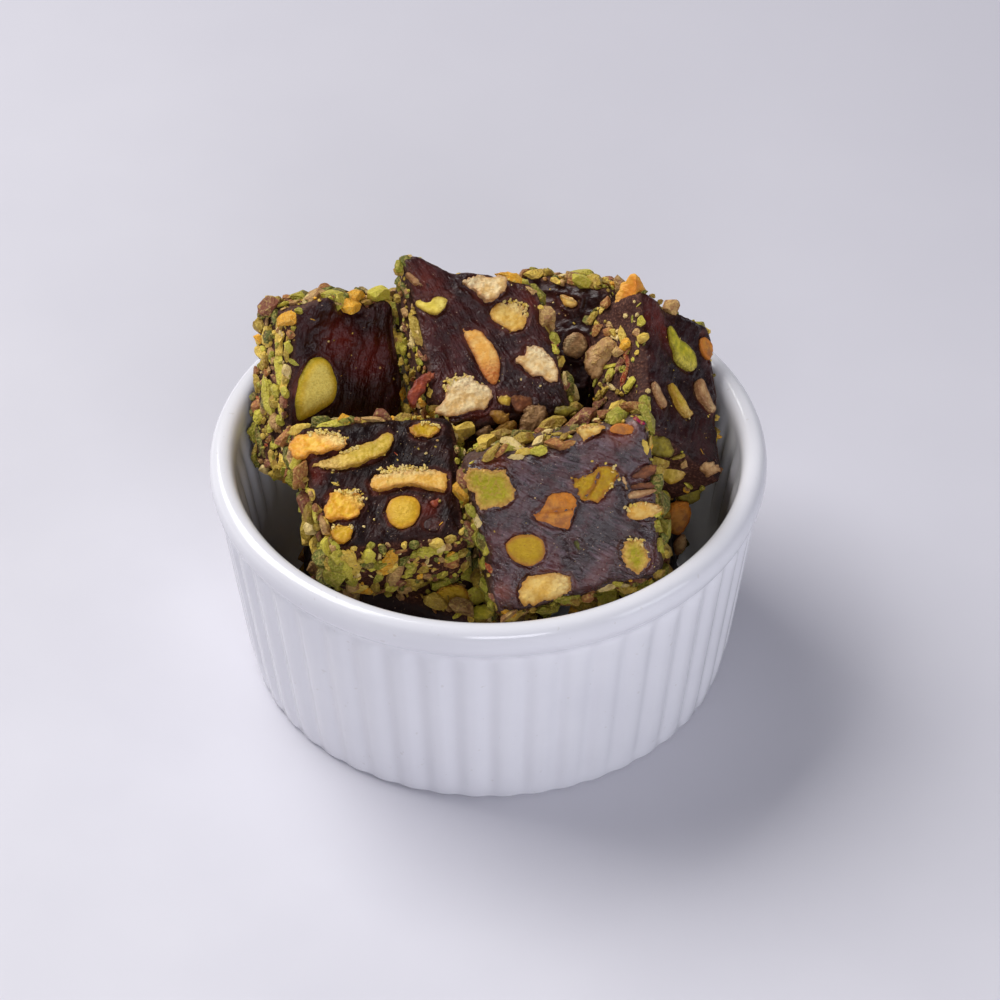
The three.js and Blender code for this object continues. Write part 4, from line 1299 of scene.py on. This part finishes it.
def takeMesh(chip):
    # corner places and triangles of a chip, which is then removed
    places = vertexPlaces(chip)
    low, high = places.min(axis=0), places.max(axis=0)
    places = (places - (low + high) / 2) / (high - low)
    faces = np.array([list(face.vertices) for face in chip.data.polygons])
    activate(chip)
    bpy.ops.object.delete()
    return places, faces


chipModels = {}
for kindNumber, (kind, look) in enumerate(chipShapes.items()):
    chipModels[kind] = []
    for k in range(look["count"]):
        chip = makeChip(kind + str(k), 10 * kindNumber + k, look)
        chipModels[kind].append(takeMesh(chip))
print("chips are modelled")


chipTones = {
    "lime": tint(208, 198, 70), "leaf": tint(166, 164, 52), "moss": tint(102, 108, 40),
    "olive": tint(184, 156, 58), "straw": tint(236, 202, 88), "cream": tint(244, 218, 150),
    "beige": tint(200, 158, 104), "tan": tint(176, 116, 66), "mauve": tint(146, 92, 72),
    "amber": tint(248, 182, 50), "rust": tint(166, 66, 34), "petal": tint(176, 18, 84),
    "pale": tint(248, 222, 136),
}

# how often each tone comes, and how much nut skin is on it
coatMix = [("lime", 14, 0.1), ("leaf", 16, 0.2), ("moss", 11, 0.3), ("olive", 18, 0.4), ("straw", 14, 0.3),
           ("cream", 8, 0.2), ("beige", 13, 0.5), ("tan", 6, 0.5), ("mauve", 6, 0.8), ("amber", 4, 0.2)]

# size range in millimetres, share of each kind and number on a square millimetre
coatLayers = [
    {"kinds": [("chunk", 8), ("flake", 3)], "size": (2.8, 5.2), "perArea": 0.12, "sunk": 0.3},
    {"kinds": [("chunk", 6), ("flake", 2), ("sliver", 2)], "size": (1.4, 2.7), "perArea": 0.22,
     "sunk": 0.25},
    {"kinds": [("crumb", 2), ("sliver", 1)], "size": (0.4, 1.2), "perArea": 0.6, "sunk": 0.3},
]
nutClearance = 3.6      # kept free round a nut that has a place of its own

# how thickly a slice is coated, where it is less than the rest
coatShares = {
    "slice_back": 0.55,
    "slice_back_right": 0.42,
    "slice_top": 0.45,
    "slice_front_right": 0.45,
    "slice_front_left": 0.65,
    "slice_back_left": 0.7,
}

coatLook = {
    "through": 0.95,     # how near to the cut faces the coat reaches
    "longer": 1.3,       # slivers
    "tip": 0.25,
    "shade": (0.8, 1.15),
    "wallGap": 0.4,
    "free": 0.3,         # a bit is left out where the place this far out from it lies in another slice
    "overlap": 0.2,
}

# bits of dust on a cut face
faceDust = {
    "slice_front_left": 90,
    "slice_front_right": 50,
    "slice_back_left": 30,
    "slice_top": 120,
    "slice_back": 50,
    "slice_back_right": 50,
}
dustLook = {
    "spread": 0.43,
    "threads": 0.06,
    "threadSize": (0.9, 1.6),
    "threadWidth": 0.16,
    "threadTones": ["rust", "amber"],
    "least": 0.12,       # the finest crumb, and how much larger the others get
    "more": 0.5,
    "wide": 0.75,
    "flat": 0.7,
    "lift": 0.05,
    "tones": ["cream", "cream", "straw", "beige", "olive"],
}

# large bits laid one by one
bitLook = {
    "longer": 1.08,
    "thick": (0.42, 0.6),
    "raised": 0.2,       # share of its thickness
    "tip": 0.12,
    "shade": (0.92, 1.1),
    "paleTones": {"lime", "straw", "cream", "amber"},
    "paleSkin": 0.1,
    "skin": 0.35,
}

# crumbs along the broken edge of a nut
fringeLook = {
    "steps": 6,          # points between two marks of the outline
    "out": (0.9, 0.1),   # how far out towards the outline, and how much that varies
    "slivers": 0.3,
    "size": (0.35, 0.9),
    "wide": 0.6,
    "thick": 0.45,
    "tip": 0.7,
    "lift": (0.2, 0.75),
    "tones": ["pale", "pale", "cream", "straw"],
}

# how far a hanging bit looks for something to lie on, and how deep it then sinks in
settleLook = {"reach": 4, "sink": 0.7}


def choose(draw, options):
    total = sum(option[1] for option in options)
    spot = draw.uniform(0, total)
    for option in options:
        spot -= option[1]
        if spot <= 0:
            return option
    return options[-1]


def sideSpot(shape, along, through):
    # a place on the rounded side wall of a slice and the way out from it; along runs once round
    width, height, depth = shape["size"]
    corner = jellyLook["edgeRound"]
    flat = (width - 2 * corner, height - 2 * corner)
    arc = corner * math.pi / 2
    path = along * 2 * (flat[0] + flat[1] + 2 * arc)
    sides = (
        (flat[0], (-1, -1), (1, 0)),
        (flat[1], (1, -1), (0, 1)),
        (flat[0], (1, 1), (-1, 0)),
        (flat[1], (-1, 1), (0, -1)),
    )
    for length, (cornerX, cornerY), (goX, goY) in sides:
        start = Vector((cornerX * flat[0] / 2, cornerY * flat[1] / 2))
        out = Vector((goY, -goX))
        if path <= length:
            spot = start + Vector((goX, goY)) * path + out * corner
            break
        path -= length
        if path <= arc:
            angle = path / corner
            turned = (math.cos(angle), math.sin(angle))
            out = Vector((goY * turned[0] + goX * turned[1], -goX * turned[0] + goY * turned[1]))
            spot = start + Vector((goX, goY)) * length + out * corner
            break
        path -= arc
    spot = onSlice(shape, 2 * spot.x / width, 2 * spot.y / height, through)
    bulge = jellyLook["swell"] * (1 - through * through)
    return spot + Vector((out.x, out.y, 0)) * bulge, Vector((out.x, out.y, 0))


sliceInverse = {name: slicePlace(shape).inverted() for name, shape in sliceShapes.items()}


def insideAnother(name, place, margin):
    # place in metres
    for other, shape in sliceShapes.items():
        if other == name:
            continue
        local = sliceInverse[other] @ place / mm
        if all(abs(local[k]) < shape["size"][k] / 2 - margin for k in range(3)):
            return True
    return False


def onNut(name, place):
    # near a nut that has a place of its own on the slice
    places = [Vector(nut["at"]) for nut in smallNuts.get(name, []) if "at" in nut]
    return any((place / mm - spot).length < nutClearance for spot in places)


# the ramekin's inside, a cone that widens up to the lip
insideRadius, insideBottom = ramekinShape["insideBottom"]
insideCone = {"rise": 29.2, "widens": 4.3, "rim": 42}


def insideWall(place, margin):
    radius, height = place.xy.length / mm, place.z / mm
    above = min(height, insideBottom + insideCone["rise"]) - insideBottom
    wall = insideRadius + above / insideCone["rise"] * insideCone["widens"]
    return height < insideCone["rim"] and wall - margin < radius


def turnedTo(out, spin, tipA, tipB):
    turn = out.to_track_quat("Z", "Y").to_matrix().to_4x4()
    turn = turn @ Matrix.Rotation(spin, 4, "Z")
    return turn @ Matrix.Rotation(tipA, 4, "X") @ Matrix.Rotation(tipB, 4, "Y")


# large bits on the sides that show: two numbers for one end, two for the other, the width and the tone. The
# numbers run across and through a bottom, through and up a left side, across and up beside a cut face's edge
sideBits = {
    "slice_front_right": {"edge": [
        (-8.4, 12.6, -5.6, 12.8, 1.3, "leaf"), (-5.8, 11.9, -3.3, 12, 1.4, "straw"),
        (-3.7, 11.5, -0.7, 11.8, 1.8, "lime"), (-7, 11.6, -4.5, 11.2, 1, "cream"),
        (-14.9, 4.3, -14.3, 1.9, 1.2, "cream"), (-15.1, 0.6, -15.2, -2.7, 1.4, "lime"),
        (-14.7, -2.8, -14.2, -8, 1.8, "straw"), (-16.5, -3.9, -15.6, -6.4, 1, "rust"),
        (-15.8, -8.6, -14.8, -10.7, 1, "mauve"), (-13.5, -12.3, -11.3, -13.2, 1.4, "amber"),
        (-5, -13.2, -1, -13.5, 1.9, "leaf"), (-0.6, -13.4, 1.7, -12.8, 1.3, "tan"),
        (1.9, -12.9, 5.3, -12.7, 1.3, "cream"), (4.5, -13.5, 6.1, -13.9, 1.3, "lime"),
        (7.3, -12.9, 9.9, -13, 1.2, "mauve"), (11.1, -12.3, 13.1, -11.7, 1.3, "olive"),
        (14.9, -1.3, 15.4, -3.1, 1.6, "lime"), (14.8, -3.7, 15.4, -5.7, 1.5, "leaf"),
        (14, -6.5, 14.2, -9, 1.3, "leaf"), (14.2, 9.3, 14.2, 6.9, 1.3, "straw"),
        (13.6, 13.1, 15.1, 11.7, 0.8, "petal"), (1.3, 12.4, 3.8, 12.2, 1, "tan"),
        (9.1, 13.7, 10.9, 14.2, 1, "beige"),
    ]},
    "slice_front_left": {"edge": [
        (-15.7, 8.5, -15, 5.3, 1.7, "leaf"), (-13.7, 0.3, -11.8, -4.4, 2.6, "lime"),
        (-14.8, -3, -14.4, -4.4, 1.2, "olive"), (-15.1, 0, -14.3, -1.9, 1.3, "straw"),
        (-12, -4.3, -10.9, -6.7, 1.6, "straw"), (-11.3, -8.5, -10.4, -10.7, 1.6, "leaf"),
        (-15.1, -6.6, -14.6, -8.4, 1.1, "amber"), (-13.6, -5.6, -12.9, -7.2, 1, "olive"),
        (-13.5, -9.6, -12.8, -11.4, 1.3, "leaf"), (-14.4, 10.4, -10.7, 11.2, 1.8, "straw"),
        (-10.4, 11.5, -3.1, 12.7, 2, "lime"), (2.7, 12.1, 5.4, 13.3, 1.9, "olive"),
        (2.1, 12.5, 2.6, 11.5, 1, "amber"), (-12.9, 2.8, -12.2, 1.4, 1, "straw"),
        (-8.6, 0.5, -7.4, -0.1, 0.6, "straw"),
    ], "bottom": [
        (-12, 7.5, -9, -3.2, 2.6, "lime"), (-10.5, 8.5, -7.5, 1.5, 2.2, "straw"),
        (-6.6, 5.6, -4.8, 0.5, 2.1, "lime"), (-3.8, 5, -4, 2, 0.6, "cream"),
        (-1.8, 6.2, -2.9, -1.2, 3.0, "amber"), (-0.2, 2.5, -2.6, -6.8, 2.8, "beige"),
        (-9.5, -4.5, -6, -5.6, 2.4, "straw"), (-8, -6.2, -4.6, -7.4, 2.2, "amber"),
        (-5, -2.6, -4.4, -8, 1.7, "olive"), (2.2, 4.4, 6.2, 4.2, 2.5, "lime"),
        (6.4, 6, 7, 2.8, 1.9, "lime"), (8.8, 6, 7.8, 3, 1.3, "beige"), (4, 0.6, 4, -2.8, 2.1, "olive"),
        (2.2, 0.4, 2, -2.2, 1.7, "leaf"), (0.8, -3.8, 3.8, -6.2, 2.7, "olive"),
        (1.6, -6.8, 0.2, -7.4, 2.4, "beige"), (5.2, -3.6, 8.2, -4, 2.1, "moss"),
        (9.6, 2.6, 9.4, -1.4, 1.9, "tan"), (6.4, 1.8, 8.4, 0.6, 1.5, "beige"),
        (-7.6, 3.6, -8.2, -0.8, 1.8, "straw"), (9.2, -4, 10, -6.6, 2, "moss"),
    ]},
    "slice_back_left": {"left": [
        (-7, 12.4, -4, 12.8, 1.4, "beige"), (-3.6, 12.2, -1.6, 13.2, 1.9, "mauve"),
        (-1, 12.9, 1, 11, 2.2, "moss"), (1, 11.2, 7.4, 12.6, 2.5, "amber"),
        (-7.2, 9.4, -4.8, 10.8, 3.0, "olive"), (-7, 8, -5.4, 7, 1.7, "straw"),
        (-3, 10.4, -1, 7.2, 3.0, "straw"), (-6.6, 6.4, -2, 5, 2.1, "straw"),
        (-1.8, 6.4, 1, 4.4, 2.2, "beige"), (1.4, 9.8, 2.4, 5.6, 2.2, "straw"),
        (1.6, 6.4, 4.1, 0.4, 2.3, "lime"), (4.2, 9.6, 4.8, 5, 1.8, "olive"), (5, 3.6, 5.2, 0, 1.7, "straw"),
        (-3.4, 3.8, -1.2, 2.2, 2.5, "tan"), (-7, 1.8, -4, -0.4, 2.7, "olive"),
        (-2.4, 2, 1.6, -4.2, 3.3, "lime"), (-7, -1, -6.4, -3, 2, "moss"), (-6, -1.6, -2, -2.6, 0.8, "rust"),
        (-7.2, -5, -3.6, -3.2, 2.1, "moss"), (-4, -5.6, -1.4, -4.6, 1.1, "mauve"),
        (-6.8, -6, -6.6, -9.4, 3, "leaf"), (-5.4, -6.6, -1.6, -11.6, 2.1, "moss"),
        (-1.8, -9.2, -0.6, -9.6, 0.9, "rust"), (0, -4, 3.6, -7, 3.3, "beige"),
        (3.6, -2.2, 5.2, -3.6, 1.4, "straw"), (0.6, -9.8, 4.4, -8.2, 1.9, "lime"),
        (-7, -12, -4, -13, 1.7, "moss"), (-1.4, -12, 0.8, -13, 1.6, "mauve"),
        (0.8, -11.4, 3.4, -13.2, 2.4, "olive"), (3.4, -10.6, 5.8, -12.8, 2.1, "straw"),
    ]},
    "slice_top": {"edge": [
        (-12.2, 16.4, -10.6, 14.7, 2.2, "moss"), (-4.4, 12.9, -0.3, 13.7, 2, "straw"),
        (2.5, 12.8, 6.8, 12.2, 2.2, "amber"), (9.2, 7.2, 9.8, 6, 1.2, "straw"),
        (9.9, 4.9, 11.2, 1.9, 1.6, "olive"), (11.2, 0.8, 12.7, 0.4, 1.8, "petal"),
        (10.7, 0.4, 11.4, -1.2, 1.2, "lime"), (12.5, -5.5, 13.5, -7, 1.8, "mauve"),
        (7.2, 10.4, 8.7, 9.4, 1, "beige"), (-15.2, 11.2, -13.6, 12.8, 2, "olive"),
        (-13.7, 4.9, -12.5, 3.4, 2, "mauve"), (-13.2, 0.9, -11.1, 0.8, 1.8, "cream"),
        (-13.2, -3.2, -11.5, -5.4, 1.5, "moss"), (-14.9, -6.4, -14.2, -7.9, 1.6, "straw"),
        (-16.2, 6.2, -14.6, 0.8, 2, "olive"), (-15.4, 8.6, -14, 4.4, 1.7, "leaf"),
        (-14, 0.6, -13, -3, 2.3, "moss"), (-12.6, 2.8, -11.6, 0, 1.6, "cream"),
        (-16.5, -10.8, -13.7, -10.1, 1.8, "olive"), (-13.4, -11.2, -11.3, -10.5, 1.6, "tan"),
    ], "left": [
        (-6.4, 5, -1.2, 2.2, 2.7, "lime"), (2.6, 4.2, 7, 2.2, 2.2, "cream"), (-6.6, -3, 1, -4, 1.7, "rust"),
        (0.4, -4.2, 6.8, -4.8, 1.9, "rust"), (-6.6, -6.4, -0.6, -9.4, 2.2, "lime"),
        (-1, -9.4, 4.6, -11.6, 1.9, "straw"), (-6.8, 9.6, -2.6, 8.6, 2.7, "olive"),
        (0.2, 8, 4.4, 6.4, 1.7, "beige"), (-2, 6.6, 2, 5.6, 1, "cream"), (-4, -0.8, 2, -1.8, 1.6, "olive"),
        (-7, 0.4, -4.6, -1, 1.9, "straw"), (-3, -5.5, 2, -7, 1.2, "beige"),
        (3, -8.6, 7, -10.4, 1.7, "straw"), (4.4, 9.8, 7, 7.6, 1.6, "moss"),
        (4.6, 0.4, 6.8, -1.8, 1.4, "mauve"),
    ]},
    "slice_back_right": {"left": [
        (-6.2, 2.8, 0.2, 3.6, 5, "beige"), (-5.6, 9.4, -3.2, 10.8, 1.5, "olive"),
        (-3, 10.6, -0.8, 12, 1.3, "straw"), (1.4, 6.8, 1.8, 2.4, 1.6, "straw"),
        (-0.8, 5.8, 0.8, 4.8, 1.1, "cream"), (1.9, 2.4, 2.2, -1.2, 1.2, "rust"),
        (2.1, -0.8, 0.3, -4.2, 1.2, "rust"), (-3, 0.5, 0, 0.4, 0.9, "lime"),
        (-2.4, -0.8, 0.6, -0.8, 0.8, "lime"), (2.6, 0.9, 3.8, -0.3, 0.9, "lime"),
        (1.4, -5.4, 3.2, -3, 2.1, "lime"), (-5, -4.4, -1.8, -3, 1.3, "olive"),
        (-5.6, -5.8, -2.6, -5.2, 1.9, "mauve"), (-4.6, 7.4, -2.4, 8.2, 2, "tan"),
        (-1.4, 8.4, -0.4, 7, 1.1, "beige"), (4.2, -7, 5.4, -10.4, 2.4, "leaf"),
        (3.2, -10, 5.6, -12, 3, "olive"),
    ]},
}


frontWay = Matrix.Rotation(frontLean, 3, "X") @ Vector((0, 0, 1))
edgeLook = {"behind": 0.4, "step": 0.25, "steps": 48, "sunk": 0.6}


def backToSide(name, shape, spot):
    # from beside the cut face down and back to the side of the slice, or straight in where that misses
    width, height, depth = shape["size"]
    away = sliceTurn(shape).to_3x3().inverted() @ frontWay * -edgeLook["step"]
    place = spot.copy()
    for step in range(edgeLook["steps"]):
        up = 2 * place.y / height
        across = 2 * (place.x - shape["skew"] * up) / width / (1 + shape["taper"][0] * up)
        if max(abs(up), abs(across), abs(2 * place.z / depth)) < 1:
            return place
        place += away
    up = inRange(2 * spot.y / height)
    half = width / 2 * (1 + shape["taper"][0] * up)
    beside = inRange(spot.x - shape["skew"] * up, -half, half)
    nearest = Vector((beside + shape["skew"] * up, up * height / 2, spot.z - edgeLook["sunk"]))
    return nearest + Vector(tugPull(name, np.array([nearest]))[0])


def sidePlace(name, shape, side, first, second):
    # the place of one end of a bit and the way out from there
    width, height, depth = shape["size"]
    if side == "edge":
        place = Vector((first, second, depth / 2 - edgeLook["behind"]))
        return place, sliceTurn(shape).to_3x3().inverted() @ frontWay
    if side == "bottom":
        spot = onSlice(shape, inRange(2 * first / width), -1, inRange(2 * second / depth))
        out = Vector((0, -1, 0))
    else:
        spot = onSlice(shape, -1, inRange(2 * second / height), inRange(2 * first / depth))
        out = Vector((-1, 0, 0))
    return spot + Vector(tugPull(name, np.array([spot]))[0]), out


def addBit(kind, model, matrix, size, tone, shade, skin):
    # size is length, width and thickness in millimetres
    scale = Matrix.Diagonal([*(value * mm for value in size), 1])
    bits[kind].append((model, matrix @ scale, [value * shade for value in chipTones[tone][:3]] + [skin]))


def layBit(name, shape, side, bit, draw):
    firstA, secondA, firstB, secondB, broad, tone = bit
    start, out = sidePlace(name, shape, side, firstA, secondA)
    end, out = sidePlace(name, shape, side, firstB, secondB)
    along = (end - start).normalized()
    length = max((end - start).length, broad) * bitLook["longer"]
    thick = broad * draw.uniform(*bitLook["thick"])
    across = out.cross(along).normalized()
    up = along.cross(across)
    turn = Matrix((along, across, up)).transposed() @ Matrix.Rotation(draw.gauss(0, bitLook["tip"]), 3, "X")
    middle = (start + end) / 2
    if side == "edge":
        middle = backToSide(name, shape, middle)
    else:
        middle = middle + out * (thick * bitLook["raised"] + jellyLook["swell"] * 0.5)
    matrix = slicePlace(shape) @ Matrix.Translation(middle * mm) @ turn.to_4x4()
    shade = draw.uniform(*bitLook["shade"])
    skin = bitLook["paleSkin"] if tone in bitLook["paleTones"] else bitLook["skin"]
    model = draw.randrange(len(chipModels["shard"]))
    addBit("shard", model, matrix, (length, broad, thick), tone, shade, skin)


def fringeNut(matrix, nut, draw):
    marks, middle = roundOutline(nut["outline"], fringeLook["steps"]), outlineMiddle(nut["outline"])
    toward, spread, count = nut["fringe"]
    near = []
    for mark in marks:
        bearing = math.degrees(math.atan2(mark.y - middle.y, mark.x - middle.x))
        if abs((bearing - toward + 180) % 360 - 180) < spread:
            near.append(mark)
    for k in range(count * 2):
        spot = middle + (draw.choice(near) - middle) * draw.gauss(*fringeLook["out"])
        kind = "sliver" if draw.random() < fringeLook["slivers"] else "crumb"
        size = draw.uniform(*fringeLook["size"])
        spin = draw.uniform(0, 2 * math.pi)
        tipA, tipB = draw.gauss(0, fringeLook["tip"]), draw.gauss(0, fringeLook["tip"])
        turn = Matrix.Rotation(spin, 4, "Z") @ Matrix.Rotation(tipA, 4, "X") @ Matrix.Rotation(tipB, 4, "Y")
        lifted = Matrix.Translation((spot.x * mm, spot.y * mm, draw.uniform(*fringeLook["lift"]) * mm))
        tone = draw.choice(fringeLook["tones"])
        model = draw.randrange(len(chipModels[kind]))
        sizes = (size, size * fringeLook["wide"], size * fringeLook["thick"])
        addBit(kind, model, matrix @ lifted @ turn, sizes, tone, 1, 0)


def dustFace(name, shape, draw):
    # fine crumbs and a few red threads on the cut face
    width, height, depth = shape["size"]
    spread = dustLook["spread"]
    for k in range(faceDust.get(name, 0)):
        x, y = draw.uniform(-spread, spread) * width, draw.uniform(-spread, spread) * height
        spot = Vector((x, y, faceHeight(shape, x, y) + dustLook["lift"]))
        spot += Vector(tugPull(name, np.array([spot]))[0])
        thread = draw.random() < dustLook["threads"]
        if thread:
            size = draw.uniform(*dustLook["threadSize"])
            kind, broad = "sliver", dustLook["threadWidth"]
        else:
            size = dustLook["least"] + dustLook["more"] * draw.random() ** 3
            kind, broad = "crumb", size * dustLook["wide"]
        tone = draw.choice(dustLook["threadTones" if thread else "tones"])
        spin = Matrix.Rotation(draw.uniform(0, 2 * math.pi), 4, "Z")
        model = draw.randrange(len(chipModels[kind]))
        matrix = slicePlace(shape) @ Matrix.Translation(spot * mm) @ spin
        addBit(kind, model, matrix, (size, broad, broad * dustLook["flat"]), tone, 1, 0)


def coatSlice(name, shape, draw):
    width, height, depth = shape["size"]
    area = 2 * (width + height) * depth
    place4 = slicePlace(shape)
    turn = sliceTurn(shape).to_3x3()
    laid = sideBits.get(name, {})
    for side, sideRows in laid.items():
        for bit in sideRows:
            layBit(name, shape, side, bit, draw)
    for number, layer in enumerate(coatLayers):
        for k in range(int(area * layer["perArea"] * coatShares.get(name, 1))):
            along, through = draw.random(), draw.uniform(-coatLook["through"], coatLook["through"])
            kind = choose(draw, layer["kinds"])[0]
            size = draw.uniform(*layer["size"]) * (coatLook["longer"] if kind == "sliver" else 1)
            tone, often, skin = choose(draw, coatMix)
            spin = draw.uniform(0, 2 * math.pi)
            tipA, tipB = draw.gauss(0, coatLook["tip"]), draw.gauss(0, coatLook["tip"])
            model = draw.randrange(len(chipModels[kind]))
            shade = draw.uniform(*coatLook["shade"])
            broad, thick = (size * draw.uniform(*chipShapes[kind][key]) for key in ("wide", "thick"))
            spot, out = sideSpot(shape, along, through)
            spot += Vector(tugPull(name, np.array([spot]))[0])
            onLaid = "bottom" in laid and out.y < -0.9 or "left" in laid and out.x < -0.9
            if number == 0 and onLaid:
                continue
            spot = spot + out * thick * (0.5 - layer["sunk"])
            place = place4 @ (spot * mm)
            free = place + turn @ out * coatLook["free"] * mm
            buried = insideAnother(name, free, coatLook["overlap"])
            if buried or insideWall(place, size * coatLook["wallGap"]) or onNut(name, place):
                continue
            matrix = Matrix.Translation(place) @ turnedTo(turn @ out, spin, tipA, tipB)
            addBit(kind, model, matrix, (size, broad, thick), tone, shade, skin)


def settleBits():
    # a bit that would hang free is moved onto the nearest jelly or nut, or left out where none is near
    graph = bpy.context.evaluated_depsgraph_get()
    solid = [piece for piece in scene.objects if piece.name.endswith(("_jelly", "_flesh", "_small_nuts"))]
    trees = [BVHTree.FromObject(piece, graph) for piece in solid]
    for rows in bits.values():
        kept = []
        for model, matrix, tone in rows:
            spot = matrix.translation.copy()
            hits = [tree.find_nearest(spot, settleLook["reach"] * mm) for tree in trees]
            near = [hit for hit in hits if hit[0]]
            if near:
                point, normal, face, gap = min(near, key=lambda hit: hit[3])
                half = min(axis.length for axis in matrix.to_3x3().col) / 2
                if (spot - point).dot(normal) > 0 and gap > half:
                    matrix.translation = point + (spot - point) * (half * settleLook["sink"] / gap)
                kept.append((model, matrix, tone))
        rows[:] = kept
    print("bits are settled")


def pourBits(name, kind, rows):
    placeParts, faceParts, toneParts, count = [], [], [], 0
    for model, matrix, tone in rows:
        places, faces = chipModels[kind][model]
        turn = np.array(matrix.to_3x3())
        placeParts.append(places @ turn.T + np.array(matrix.translation))
        faceParts.append(faces + count)
        toneParts.append(np.tile(tone, (len(places), 1)))
        count += len(places)
    mesh = bpy.data.meshes.new(name)
    mesh.from_pydata(np.concatenate(placeParts), [], np.concatenate(faceParts))
    piece = bpy.data.objects.new(name, mesh)
    scene.collection.objects.link(piece)
    attribute = mesh.attributes.new("chipColor", "FLOAT_COLOR", "POINT")
    attribute.data.foreach_set("color", np.concatenate(toneParts).astype(np.float32).ravel())
    activate(piece)
    bpy.ops.object.shade_smooth_by_angle(angle=math.radians(28))
    mesh.materials.append(chipMaterial)
    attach(piece, "root")
    print(name, len(rows), "bits", len(mesh.polygons), "faces")
    return piece


bits = {kind: [] for kind in chipShapes}
for number, (name, shape) in enumerate(sliceShapes.items()):
    draw = random.Random(100 + number)
    coatSlice(name, shape, draw)
    dustFace(name, shape, draw)
    for nut in faceNuts.get(name, []) + smallNuts.get(name, []):
        if "fringe" in nut:
            fringeNut(nutPlace(name, shape, nut), nut, draw)
settleBits()
for kind in chipShapes:
    pourBits("crushedNut_" + kind, kind, bits[kind])

print("scene is complete")
